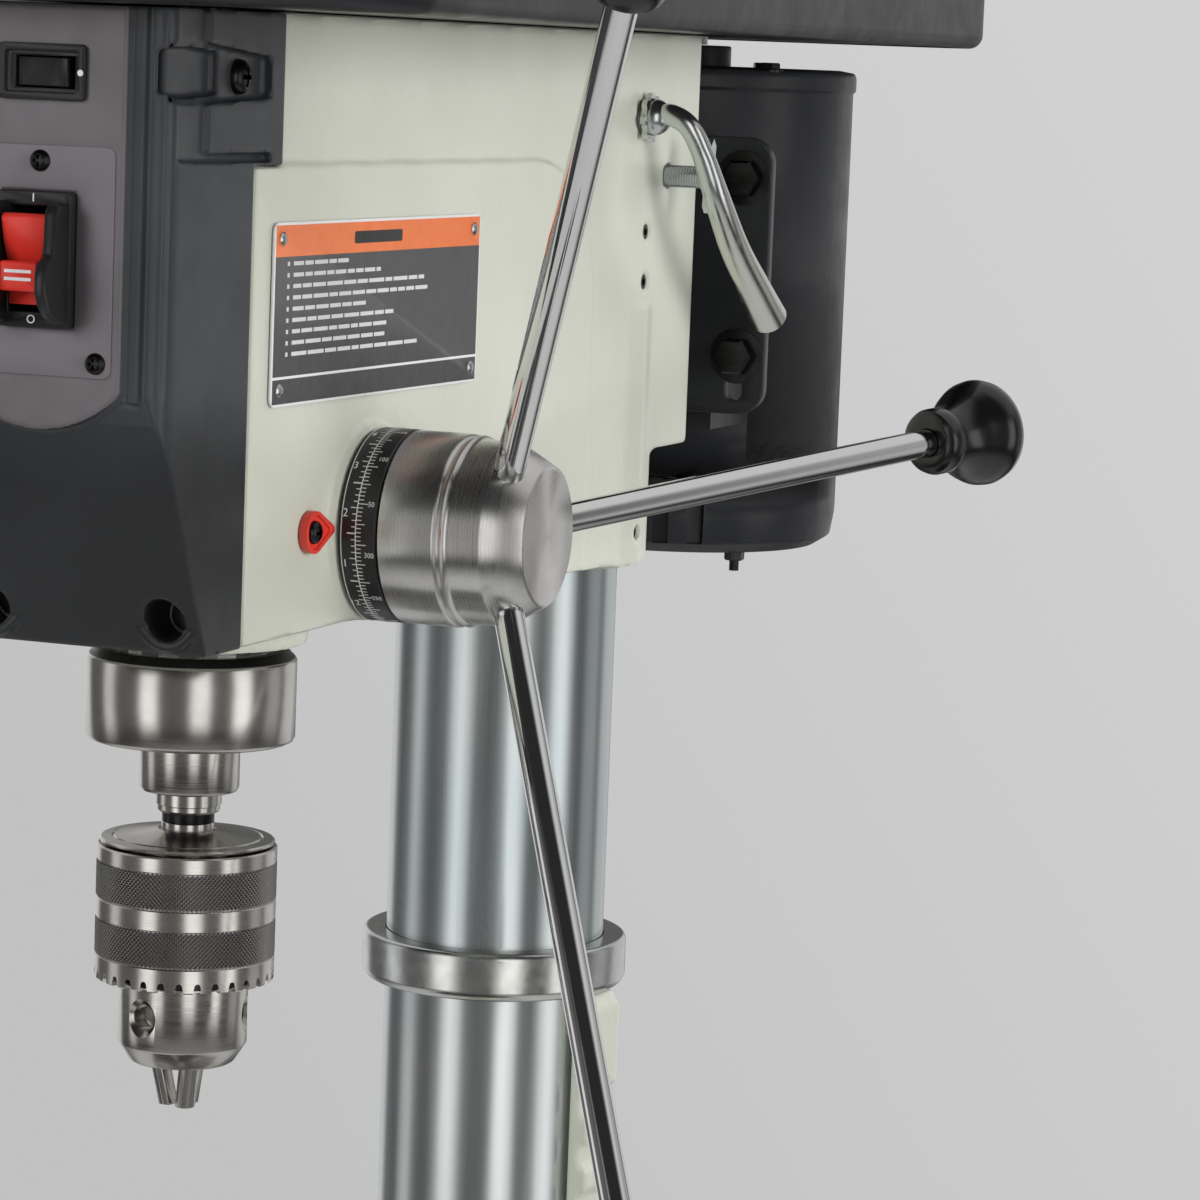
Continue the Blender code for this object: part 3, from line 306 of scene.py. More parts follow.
# ---- materials ----
class Look:
    """A procedural material: short calls add shader nodes, measured in metres of the rest frame."""

    def __init__(self, name, roughness, metallic=0.0, coat=0.0, specular=0.5):
        self.material = bpy.data.materials.new(name)
        self.material.use_nodes = True
        self.tree = self.material.node_tree
        self.shader = self.tree.nodes["Principled BSDF"]
        self.shader.inputs["Roughness"].default_value = roughness
        self.shader.inputs["Metallic"].default_value = metallic
        self.shader.inputs["Coat Weight"].default_value = coat
        self.shader.inputs["Coat Roughness"].default_value = 0.15
        self.shader.inputs["Specular IOR Level"].default_value = specular
        self.roughness = roughness
        self.place = self.tree.nodes.new("ShaderNodeTexCoord").outputs["Object"]

    def add(self, kind, inputs, output=0, **settings):
        node = self.tree.nodes.new("ShaderNode" + kind)
        for key, value in settings.items():
            setattr(node, key, value)
        for key, value in inputs.items():
            if isinstance(value, bpy.types.NodeSocket):
                self.tree.links.new(value, node.inputs[key])
            else:
                node.inputs[key].default_value = value
        return node.outputs[output]

    def grain(self, scale, detail=3.0, stretch=(1, 1, 1), where=None):
        where = self.add("VectorMath", {0: where or self.place, 1: stretch}, operation="MULTIPLY")
        return self.add("TexNoise", {"Vector": where, "Scale": scale, "Detail": detail})

    def span(self, value, low, high, to_low=0.0, to_high=1.0):
        return self.add("MapRange", {"Value": value, "From Min": low, "From Max": high,
                                     "To Min": to_low, "To Max": to_high})

    def tint(self, factor, first, second):
        first = first if isinstance(first, bpy.types.NodeSocket) else (*first, 1.0)
        second = second if isinstance(second, bpy.types.NodeSocket) else (*second, 1.0)
        return self.add("MixRGB", {0: factor, 1: first, 2: second})

    def colour(self, socket):
        self.tree.links.new(socket, self.shader.inputs["Base Color"])

    def vary_roughness(self, factor, spread):
        socket = self.span(factor, 0.3, 0.7, self.roughness - spread, self.roughness + spread)
        self.tree.links.new(socket, self.shader.inputs["Roughness"])

    def relief(self, height, depth, strength=1.0):
        """Bump whose full height is a depth in millimetres."""
        under = self.shader.inputs["Normal"]
        inputs = {"Height": height, "Distance": depth * MM, "Strength": strength}
        if under.is_linked:
            inputs["Normal"] = under.links[0].from_socket
        self.tree.links.new(self.add("Bump", inputs), under)

    def turned_place(self, axis, centre):
        """(Distance along an axis, distance from it, 0), for the marks that turning leaves."""
        offset = self.add("VectorMath", {0: self.place, 1: centre}, operation="SUBTRACT")
        sideways = self.add("VectorMath", {0: offset, 1: Vector((1, 1, 1)) - Vector(axis)},
                            operation="MULTIPLY")
        radius = self.add("VectorMath", {0: sideways}, 1, operation="LENGTH")
        along = self.add("VectorMath", {0: offset, 1: axis}, 1, operation="DOT_PRODUCT")
        return self.add("CombineXYZ", {0: along, 1: radius})


def paint(name, colour, dark, roughness, peel, peel_depth, coat=0.0, specular=0.5):
    """Sprayed paint: a mottled colour over the casting's lumps and an orange-peel skin."""
    look = Look(name, roughness, coat=coat, specular=specular)
    cloud = look.grain(14, 4)
    look.colour(look.tint(look.span(cloud, 0.35, 0.7), dark, colour))
    look.vary_roughness(look.grain(90, 3), 0.05)
    look.relief(look.grain(60, 2), 0.35)
    look.relief(look.grain(peel, 2), peel_depth)
    return look.material


def moulded(name, colour, light, roughness, grain=1500, depth=0.03, coat=0.0):
    """Moulded plastic with a fine spark-eroded grain."""
    look = Look(name, roughness, coat=coat)
    look.colour(look.tint(look.span(look.grain(25, 5), 0.35, 0.75), colour, light))
    look.vary_roughness(look.grain(140, 3), 0.06)
    look.relief(look.grain(grain, 2), depth)
    return look.material


def turned_metal(name, axis, centre, colour, dark, roughness, pitch=5200, depth=0.006, metallic=1.0):
    """Turned steel: fine rings about an axis, with slight stains."""
    look = Look(name, roughness, metallic)
    rings = look.grain(pitch, 2, (1, 1, 0), look.turned_place(axis, centre))
    stains = look.grain(70, 5)
    look.colour(look.tint(look.span(stains, 0.3, 0.65), dark, colour))
    look.vary_roughness(rings, 0.06)
    look.relief(rings, depth)
    return look.material


def plated(name, colour, other, roughness, stretch, scale=160, depth=0.01):
    """Plated steel: faint drawn streaks and a wandering tint."""
    look = Look(name, roughness, 1.0)
    streaks = look.grain(scale, 4, stretch)
    tint = look.grain(11, 3)
    look.colour(look.tint(look.span(tint, 0.35, 0.65), colour, other))
    look.vary_roughness(streaks, 0.05)
    look.relief(streaks, depth)
    return look.material


def cover_look():
    """One moulding in two grains: the proud front panel is a lighter, warmer grey than the rest. Below it the chin is
    painted darker as shade, fading to a lighter upper tone above.
    """
    look = Look("cover_moulding", 0.38, specular=0.6)
    cloud = look.span(look.grain(25, 5), 0.35, 0.75)
    # body is painted shade for the chin and lower cover; upper is the moulding's tone above it.
    body = look.tint(cloud, (0.011, 0.012, 0.0135), (0.018, 0.0195, 0.0215))
    upper = look.tint(cloud, (0.026, 0.028, 0.031), (0.038, 0.041, 0.045))
    panel = look.tint(cloud, (0.100, 0.091, 0.099), (0.132, 0.121, 0.131))
    parts = look.tree.nodes.new("ShaderNodeSeparateXYZ")
    look.tree.links.new(look.place, parts.inputs[0])
    # Painted shade: darker below 160 mm, fading to the upper tone by 190 mm.
    chin = DATUM.z + 160 * MM
    body = look.tint(look.span(parts.outputs["Z"], chin, chin + 30 * MM), body, upper)
    face = DATUM.y + node_box("front_cover")[0].y * MM
    on_panel = look.span(parts.outputs["Y"], face - 0.1 * MM, face - 0.5 * MM)
    look.colour(look.tint(on_panel, body, panel))
    look.vary_roughness(look.grain(140, 3), 0.05)
    look.relief(look.grain(1500, 2), 0.03)
    return look.material


def label_look():
    """The information plate: an orange band over a dark field, with a light border and rule."""
    plate_low, plate_high = node_box("info_plate")
    look = Look("plate_print", 0.42, coat=0.2)
    parts = look.tree.nodes.new("ShaderNodeSeparateXYZ")
    look.tree.links.new(look.place, parts.inputs[0])
    along, up = parts.outputs["Y"], parts.outputs["Z"]

    def between(value, low, high, axis):
        low, high = (DATUM[axis] + low * MM, DATUM[axis] + high * MM)
        over = look.add("Math", {0: value, 1: low}, operation="GREATER_THAN")
        under = look.add("Math", {0: value, 1: high}, operation="LESS_THAN")
        return look.add("Math", {0: over, 1: under}, operation="MULTIPLY")

    wear = look.grain(200, 4)
    dark = look.tint(look.span(wear, 0.3, 0.7), (0.058, 0.058, 0.060), (0.075, 0.075, 0.078))
    orange = look.tint(look.span(wear, 0.3, 0.7), (0.80, 0.17, 0.035), (0.88, 0.20, 0.045))
    white = (0.78, 0.78, 0.78)
    body = look.tint(between(up, plate_high.z - 10.2, plate_high.z + 1, 2), dark, orange)
    body = look.tint(between(up, plate_low.z + 8.2, plate_low.z + 9.0, 2), body, white)
    inside = look.add("Math", {0: between(along, plate_low.y + 0.9, plate_high.y - 0.9, 1),
                               1: between(up, plate_low.z + 0.9, plate_high.z - 0.9, 2)},
                      operation="MULTIPLY")
    look.colour(look.tint(inside, white, body))
    look.relief(look.grain(300, 2), 0.02)
    return look.material


def brush_along(material, axis):
    """Spread a turned surface's highlights along its axis."""
    tree = material.node_tree
    shader = tree.nodes["Principled BSDF"]
    shader.inputs["Anisotropic"].default_value = 0.7
    way = tree.nodes.new("ShaderNodeCombineXYZ")
    for index in range(3):
        way.inputs[index].default_value = axis[index]
    tree.links.new(way.outputs[0], shader.inputs["Tangent"])


def centre_of(point):
    """A local place as a world coordinate, for a material."""
    return tuple(DATUM + Vector(point) * MM)


HEAD_PAINT = paint("head_paint_finish", (0.60, 0.62, 0.53), (0.55, 0.57, 0.48), 0.36, 420, 0.10, 0.25)
BLACK_PAINT = paint("satin_black_finish", (0.026, 0.027, 0.030), (0.018, 0.019, 0.021), 0.36, 900, 0.03,
                    specular=0.3)
COVER = cover_look()
PLATE = moulded("switch_plate_moulding", (0.150, 0.136, 0.149), (0.175, 0.160, 0.174), 0.46)
BLACK = moulded("black_moulding", (0.010, 0.010, 0.011), (0.020, 0.020, 0.021), 0.34, 900, 0.015)
KNOB = moulded("knob_moulding", (0.006, 0.006, 0.007), (0.011, 0.011, 0.012), 0.20, 500, 0.006, 0.3)
RED = moulded("red_moulding", (0.66, 0.032, 0.022), (0.74, 0.055, 0.035), 0.36, 900, 0.015)
RUBBER = moulded("belt_surface", (0.013, 0.013, 0.014), (0.024, 0.024, 0.025), 0.75, 1200, 0.08)
WHITE = moulded("white_print", (0.72, 0.72, 0.71), (0.80, 0.80, 0.79), 0.5)
PRINT = moulded("grey_print", (0.62, 0.62, 0.62), (0.70, 0.70, 0.70), 0.5)
ZINC = plated("zinc_plate", (0.54, 0.595, 0.61), (0.62, 0.645, 0.64), 0.24, (1, 1, 0.03))
ZINC_PART = plated("zinc_hardware", (0.62, 0.65, 0.66), (0.70, 0.69, 0.64), 0.22, (1, 1, 1), 220, 0.03)
CHROME = plated("chrome_plate", (0.78, 0.79, 0.80), (0.82, 0.82, 0.82), 0.07, (1, 1, 1), 120, 0.01)
SPINDLE_STEEL = turned_metal("spindle_steel", Z, centre_of((0, 0, 0)), (0.66, 0.64, 0.61),
                             (0.54, 0.52, 0.49), 0.20)
HUB_STEEL = turned_metal("hub_steel", X, centre_of(HUB), (0.74, 0.73, 0.72), (0.62, 0.61, 0.60), 0.27,
                         5200, 0.003)
KNURL = plated("knurl_black", (0.30, 0.29, 0.28), (0.36, 0.35, 0.34), 0.28, (1, 1, 1), 200, 0.002)
OXIDE = turned_metal("black_oxide", Z, centre_of((0, 0, 0)), (0.06, 0.06, 0.062), (0.025, 0.025, 0.026),
                     0.32, 900, 0.02)
TABLE_IRON = turned_metal("ground_iron", Z, centre_of((0, 0, 0)), (0.46, 0.46, 0.455),
                          (0.36, 0.355, 0.35), 0.33, 1400, 0.02)
brush_along(HUB_STEEL, X)
ALUMINIUM = turned_metal("cast_aluminium", Z, centre_of((0, 0, 0)), (0.70, 0.70, 0.71),
                         (0.58, 0.58, 0.59), 0.34, 900, 0.03)
LABEL = label_look()


# ---- fasteners ----
def pan_head(place, direction, radius, height=None):
    """A pan-head screw's head with its cross recess, as an object."""
    height = height or radius * 0.62
    profile = [(0, height), (radius * 0.35, height * 0.98), (radius * 0.7, height * 0.82),
               (radius * 0.93, height * 0.5), (radius, height * 0.12), (radius, -0.4), (0, -0.4)]
    turn = Z.rotation_difference(Vector(direction)).to_matrix().to_4x4()
    place = Matrix.Translation(Vector(place)) @ turn
    head = to_object("screw", moved(lathe(profile, (0, 0, 0), Z, 32), place))
    long, short = radius * 0.55, radius * 0.14
    slots = [block((-long, -short, height * 0.25), (long, short, height * 2)),
             block((-short, -long, height * 0.25), (short, long, height * 2))]
    return carve(head, [moved(slot, place) for slot in slots])


def hex_head(place, direction, across, height, washer=0.0):
    """A hexagon head on an optional washer."""
    corner = across / math.sqrt(3)
    profile = [(0, height), (corner * 0.86, height), (corner, height * 0.82), (corner, 0), (0, 0)]
    turn = Z.rotation_difference(Vector(direction)).to_matrix().to_4x4()
    shapes = [lathe(profile, (0, 0, 0.0), Z, 6)]
    if washer:
        ring = eased([(0, 0.1), (washer, 0.1), (washer, -1.4), (0, -1.4)], 0.3)
        shapes = [moved(shapes[0], Matrix.Translation((0, 0, 0.05))), lathe(ring, (0, 0, 0), Z, 40)]
    return moved(merged(*shapes), Matrix.Translation(Vector(place)) @ turn)


# ---- column, base and rack ----
def make_column():
    low, high = node_box("column_tube")
    radius = (high.x - low.x) / 2
    wall = eased([(radius - 4.5, high.z), (radius, high.z), (radius, low.z), (radius - 4.5, low.z)], 1.0)
    piece("column_surface", lathe(wall, (0, COLUMN.y, 0), Z, 160, True), "frame", ZINC,
          ["column_tube"])
    low, high = node_box("column_ring")
    outer = (high.x - low.x) / 2
    profile = eased([(radius + 0.4, high.z), (outer - 0.9, high.z), (outer, high.z - 1.8),
                     (outer, low.z + 2.6), (outer - 1.8, low.z), (radius + 0.4, low.z)], 1.0)
    ring = to_object("rack_ring", lathe(profile, (0, COLUMN.y, 0), Z, 128, True))
    middle_z = (low.z + high.z) / 2
    screw_hole = lathe([(0, 6), (3.2, 6), (3.2, -6), (0, -6)], (-outer, COLUMN.y, middle_z), X, 24)
    carve(ring, [screw_hole])
    piece("rack_ring", ring, "frame", ZINC_PART, ["column_ring"])

    flange = cast(node_copy("column_flange"), 1.6, 4)
    piece("flange_casting", flange, "frame", HEAD_PAINT, ["column_flange"])
    flange_low, flange_high = node_box("column_flange")
    bolts = []
    for index in range(4):
        angle = math.radians(45 + 90 * index)
        place = (78.5 * math.cos(angle), COLUMN.y + 78.5 * math.sin(angle), flange_low.z + 17.2)
        bolts.append(hex_head(place, Z, 17, 7.5, 12.5))
    piece("flange_bolts", merged(*bolts), "frame", ZINC_PART)
    base = cast(node_copy("base_casting"), 2.6, 5)
    piece("base_shell", base, "frame", HEAD_PAINT, ["base_casting"])
    rack = cast(node_copy("height_rack"), 0.9, 2)
    piece("rack_bar", rack, "rack", HEAD_PAINT, ["height_rack"])


# ---- head ----
def make_head():
    head = cast(node_copy("head_casting"), 1.15, 5)
    piece("head_shell", head, "frame", HEAD_PAINT, ["head_casting"])
    for index, height in enumerate((227.2, 209.3, 118.8)):
        socket = to_object("set_screw", lathe([(0, 0), (2.6, 0), (2.6, -6), (0, -6)],
                                              (side_x(COLUMN.y) - 2.2, COLUMN.y, height), X, 24))
        carve(socket, [lathe([(0, 3), (1.5, 3), (1.5, -2), (0, -2)],
                             (side_x(COLUMN.y) - 2.2, COLUMN.y, height), X, 6)])
        piece(f"set_screw_{index + 1}", socket, "frame", OXIDE)


def side_x(y):
    """Half-width of the head at a distance behind the spindle axis."""
    return 42.0 + 0.0324 * y


def groove_round(x0, x1, z0, z1, front):
    """The narrow gap round the switch plate."""
    width = 0.9
    return [block((x0, front - 4, z0), (x1, front + 0.4, z0 + width)),
            block((x0, front - 4, z1 - width), (x1, front + 0.4, z1)),
            block((x0, front - 4, z0), (x0 + width, front + 0.4, z1)),
            block((x1 - width, front - 4, z0), (x1, front + 0.4, z1))]


def make_cover():
    """The front cover: proud switch panel with a curved foot, corner flutes, side step and scoops."""
    cover = node_copy("front_cover")
    low, high = node_box("front_cover")
    front = low.y
    liners = []
    for side in (-1, 1):
        ends = sorted((side * 30.0, side * 37.4))
        liners.append(block((ends[0], -98.6, 266.5), (ends[1], -38.0, 292.0)))
        liners.append(lathe([(0, 22), (9.5, 22), (9.5, 0), (0, 0)], (side * 28.5, -55.0, 122.5), -Y, 32))
    carve(cover, liners, "UNION")
    panel_half = 26.0
    foot = arc((0, 213.0), 35.3, 222.6, 317.4, 20)
    side_cutters = []
    for side in (-1, 1):
        flute = [(side * (panel_half + 0.2), front - 2), (side * (panel_half + 0.2), front + 1.2),
                 (side * (panel_half + 5.0), front + 1.9), (side * (panel_half + 6.4), front + 0.4),
                 (side * (panel_half + 6.6), front - 2)]
        side_cutters.append(prism(flute, 186.0, high.z + 2))
        outer = side_x(front)
        step = sorted((side * (outer - 1.0), side * (outer + 6)))
        for y0, y1, z0, z1 in ((-97.4, -80.2, 256.0, high.z + 2), (-80.6, -79.6, 256.0, high.z + 2),
                               (-97.6, -40.0, 254.4, 256.8)):
            depth = 0.7 if z1 > 280 and y1 > -80 else 0.0
            side_cutters.append(block((step[0] - depth, y0, z0), (step[1] + depth, y1, z1)))
        scoop = [(-110.0, 279.6), (-108.5, 275.6), (-104.0, 272.2), (-97.0, 270.7), (-88.8, 270.4), (-41.2, 272.8),
                 (-41.2, 284.6), (-87.5, 288.6), (-97.0, 288.3), (-104.0, 286.8), (-108.5, 283.6)]
        ends = sorted((side * 37.0, side * (outer + 6)))
        side_cutters.append(prism(scoop, ends[0], ends[1], "x"))
        deep = [(y, 279.5 + (z - 279.5) * 0.8) for y, z in scoop[:5] + [(-70.0, 272.0), (-70.0, 287.0)] + scoop[7:]]
        ends = sorted((side * 34.2, side * (outer + 6)))
        side_cutters.append(prism(deep, ends[0], ends[1], "x"))
        hole = lathe([(0, 30), (6.3, 30), (6.3, -14), (0, -14)], (side * 28.5, -75.0, 122.5), -Y, 32)
        side_cutters.append(hole)
    carve(cover, side_cutters)
    face = [(-panel_half, high.z - 0.5), (-panel_half, 205.0)] + foot + [(panel_half, 205.0),
                                                                        (panel_half, high.z - 0.5)]
    panel = prism(face, front - 0.8, front + 2.6, "y")
    carve(cover, [panel], "UNION")
    carve(cover, [block((-9.6, front - 5, 208.8), (9.6, front + 10, 243.2)),
                  block((-12.0, front - 5, 271.9), (12.0, front + 10, 284.5)),
                  *groove_round(-23.9, 23.9, 192.4, 258.7, front)])
    cast(cover, 0.75, 2)
    piece("cover_shell", cover, "frame", COVER, ["front_cover"])
    for side in (-1, 1):
        name = "left" if side < 0 else "right"
        screw = pan_head((side * (side_x(-56.8) - 3.2), -56.8, 278.7), X * side, 5.2, 3.4)
        piece(f"cover_screw_{name}", screw, "frame", OXIDE)
        sunk = to_object("sunk", lathe([(0, 0), (4.6, 0), (4.6, -4), (0, -4)],
                                       (side * 28.5, -64.0, 122.5), -Y, 24))
        piece(f"chin_screw_{name}", sunk, "frame", OXIDE)


# ---- switches ----
def words(name, text, size, matrix, body, look, squeeze=1.0, depth=0.15):
    """Raised lettering; the matrix places its face, in local millimetres."""
    curve = bpy.data.curves.new(name, "FONT")
    curve.body = text
    curve.size = size
    curve.align_x = "CENTER"
    curve.align_y = "CENTER"
    curve.extrude = depth
    curve.space_character = 1.05
    holder = bpy.data.objects.new(name, curve)
    SCENE.collection.objects.link(holder)
    bpy.context.view_layer.update()
    mesh = bpy.data.meshes.new_from_object(holder.evaluated_get(bpy.context.evaluated_depsgraph_get()))
    bpy.data.objects.remove(holder, do_unlink=True)
    shape = bmesh.new()
    shape.from_mesh(mesh)
    shape.transform(matrix @ Matrix.Diagonal((squeeze, 1, 1, 1)))
    return piece(name, shape, body, look)


def facing_front(x, y, z):
    """Lettering laid on the front, reading from the operator's left to right."""
    return Matrix.Translation((x, y, z)) @ Matrix.Rotation(math.pi / 2, 4, "X")


def make_switches():
    front = node_box("front_cover")[0].y
    plate = prism(rounded((-23.2, 193.1), (23.2, 258.0), 2.4), front - 1.5, front - 0.3, "y")
    plate = to_object("plate", plate)
    carve(plate, [block((-11.7, front - 5, 206.6), (11.7, front + 10, 245.4))])
    bevel(plate, 0.35)
    settle(plate)
    piece("switch_bezel", plate, "frame", PLATE, ["switch_plate"])
    for index, (x, z) in enumerate(((0, 253.5), (-18.7, 197.4), (18.7, 197.4))):
        screw = pan_head((x, front - 1.4, z), -Y, 3.1, 1.7)
        piece(f"plate_screw_{index + 1}", screw, "frame", OXIDE)
    words("on_mark", "I", 3.4, facing_front(0, front - 5.05, 243.1), "frame", WHITE)
    words("off_mark", "O", 3.4, facing_front(0, front - 5.05, 209.0), "frame", WHITE)

    housing = to_object("housing", prism(rounded((-11.5, 206.8), (11.5, 245.2), 1.5), front - 5, front + 16, "y"))
    carve(housing, [block((-7.3, front - 20, 211.2), (7.3, front + 14, 240.9))])
    bevel(housing, 0.5)
    settle(housing)
    piece("switch_frame", housing, "frame", BLACK, ["switch_housing"])
    for side in (-1, 1):
        guard = ([(front - 3, 207.6), (front - 3, 242.0)] + arc((front - 9.6, 238.4), 3.6, 90, 170, 6)
                 + [(front - 13.6, 230.5), (front - 14.4, 227.6), (front - 17.4, 225.4), (front - 18.5, 222.0),
                    (front - 18.3, 217.5), (front - 16.6, 213.4), (front - 13.6, 210.4), (front - 9.5, 208.6)])
        ends = sorted((7.7 * side, 11.4 * side))
        wall = bevel(to_object("guard", prism(guard, ends[0], ends[1], "x")), 0.7)
        name = "left" if side < 0 else "right"
        piece(f"switch_guard_{name}", settle(wall), "frame", BLACK)

    paddle = [(front + 10, 219.0), (front + 10, 231.0), (front - 3, 238.5), (front - 8.6, 238.9)]
    paddle += arc((front - 9.2, 237.2), 1.7, 70, 170, 5)
    paddle += [(front - 9.4, 231.0), (front - 7.4, 226.5), (front - 6.2, 224.5), (front - 5.4, 219.0),
               (front - 5.6, 213.2)]
    lobe = to_object("paddle", prism(paddle, -6.8, 6.8, "x"))
    carve(lobe, [block((-2.9, front - 20, 218.6), (2.9, front + 4, 222.4))])
    bevel(lobe, 0.8)
    piece("paddle_lobe", settle(lobe), "paddle", RED, ["switch_paddle"])
    key = merged(prism(rounded((-6.0, 217.2), (6.0, 225.6), 1.0), front - 13.4, front - 9.4, "y"),
                 block((-2.5, front - 10, 219.0), (2.5, front + 3, 222.0)))
    key = bevel(to_object("key", key), 0.8)
    piece("key_block", settle(key), "key", RED, ["safety_key"])
    bars = [block((-4.2, front - 13.55, z), (4.2, front - 13.35, z + 0.9)) for z in (220.2, 222.4)]
    piece("key_print", merged(*bars), "key", WHITE)

    outer = to_object("lamp_frame", prism(rounded((-13.7, 270.4), (13.7, 286.2), 1.6), front - 2.4, front + 8, "y"))
    carve(outer, [prism(rounded((-11.4, 272.6), (11.4, 284.0), 0.9), front - 5, front - 1.3, "y"),
                  block((-8.6, front - 5, 273.8), (10.1, front + 12, 282.8))])
    bevel(outer, 0.4)
    piece("lamp_switch_surround", settle(outer), "frame", BLACK, ["lamp_switch_frame"])
    rocker = [(-6.6, front + 5.5), (-7.9, front - 0.8), (-4.0, front - 1.4), (0.8, front - 1.3),
              (5.0, front - 2.1), (8.8, front - 3.2), (7.6, front + 5.5)]
    key = bevel(to_object("rocker", prism(rocker, 274.3, 282.3)), 0.35)
    piece("rocker_key", settle(key), "rocker", BLACK, ["lamp_rocker"])
    dot = lathe([(0, 0.12), (0.9, 0.12), (0.9, -0.3), (0, -0.3)], (12.4, front - 2.4, 278.3), -Y, 20)
    piece("lamp_mark", dot, "frame", WHITE)


# ---- plate, pointer and small parts on the head ----
def on_side(y, z, proud):
    """A flat thing's frame on the right side: its X runs rearwards and its Z points outwards."""
    lean = math.atan(0.0324)
    along = Vector((math.sin(lean), math.cos(lean), 0))
    out = Vector((math.cos(lean), -math.sin(lean), 0))
    turn = Matrix((along, Z, out)).transposed().to_4x4()
    return Matrix.Translation((side_x(y) + proud, y, z)) @ turn


def make_trim():
    place = on_side(34.8, 209.4, 0.3)
    plate = prism(rounded((-73.8, -27.3), (73.8, 27.3), 3.0), 0, 0.9)
    plate = bevel(to_object("plate", moved(plate, place)), 0.25, 2)
    piece("plate_face", settle(plate), "frame", LABEL, ["info_plate"])
    rivets = []
    for x in (-68.6, 68.6):
        for y in (-22.4, 22.4):
            dome = [(0, 1.2), (1.2, 1.0), (2.1, 0.3), (2.2, -0.2), (0, -0.2)]
            rivets.append(moved(lathe(dome, (x, y, 0.9), Z, 20), place))
    piece("plate_rivets", merged(*rivets), "frame", ZINC_PART)
    rows = []
    lengths = (37, 60, 92, 98, 50, 70, 66, 64, 88)
    for index, length in enumerate(lengths):
        top = 15.6 - index * 3.35
        left = -61.0
        rows.append(block((left - 4.0, top - 1.25, 0.86), (left - 2.6, top, 0.96)))
        while length > 3:
            word = min(length, RANDOM.uniform(4.5, 11.0))
            rows.append(block((left, top - 1.2, 0.86), (left + word, top, 0.96)))
            left += word + 1.0
            length -= word + 1.0
    piece("plate_bars", moved(merged(*rows), place), "frame", PRINT)
    heading = moved(prism(rounded((-20, 19.9), (14, 23.6), 0.8), 0.86, 0.96), place)
    piece("plate_heading", heading, "frame", BLACK)

    place = on_side(-9.5, 143.0, 0.3)
    drop = arc((0, 0), 6.5, 55, 305, 28) + [(12.6, -0.9), (12.6, 0.9)]
    rim = arc((0, 0), 5.2, 55, 305, 28) + [(9.6, -0.5), (9.6, 0.5)]
    arrow = to_object("pointer", moved(prism(drop, 0, 3.0), place))
    carve(arrow, [moved(prism(rim, 1.9, 5.0), place)])
    bevel(arrow, 0.35)
    piece("pointer_drop", settle(arrow), "frame", RED, ["depth_pointer"])
    screw = pan_head(place @ Vector((0, 0, 1.9)), place.to_3x3() @ Z, 3.6, 2.3)
    piece("pointer_screw", screw, "frame", OXIDE)

    cup_low, cup_high = node_box("spring_cup")
    depth = cup_high.x - cup_low.x
    cup = eased([(0, depth), (20, depth), (24, depth - 4), (24, 0), (20.5, 0), (20.5, 18), (0, 18)], 2.0)
    piece("return_spring_cup", lathe(cup, (cup_high.x, HUB.y, HUB.z), -X, 72), "frame", BLACK_PAINT,
          ["spring_cup"])
    nut = hex_head((cup_low.x - 1.3, HUB.y, HUB.z), -X, 17, 7, 11)
    piece("spring_cup_nut", nut, "frame", ZINC_PART)
    gland_low, gland_high = node_box("cord_gland")
    ribs = [(8.5, 0.0), (8.5, 3.0), (7.4, 3.4), (7.4, 4.4), (7.8, 4.8), (7.8, 6.2), (6.8, 6.6), (6.8, 7.6),
            (7.0, 8.0), (7.0, 9.4), (6.2, 9.8), (6.0, 12.7), (3.8, 12.7), (3.8, 4.7), (0, 4.7), (0, 0)]
    piece("cord_gland_body", lathe(ribs, (gland_high.x, 230, 170), -X, 48), "frame", BLACK,
          ["cord_gland"])


# ---- feed hub, scale and handles ----
def handle_axis(index):
    """The direction of a feed handle."""
    tilt, phase = math.radians(21.45), math.radians(-35.4 + 120 * index)
    return Vector((math.sin(tilt), math.cos(tilt) * math.sin(phase), math.cos(tilt) * math.cos(phase)))


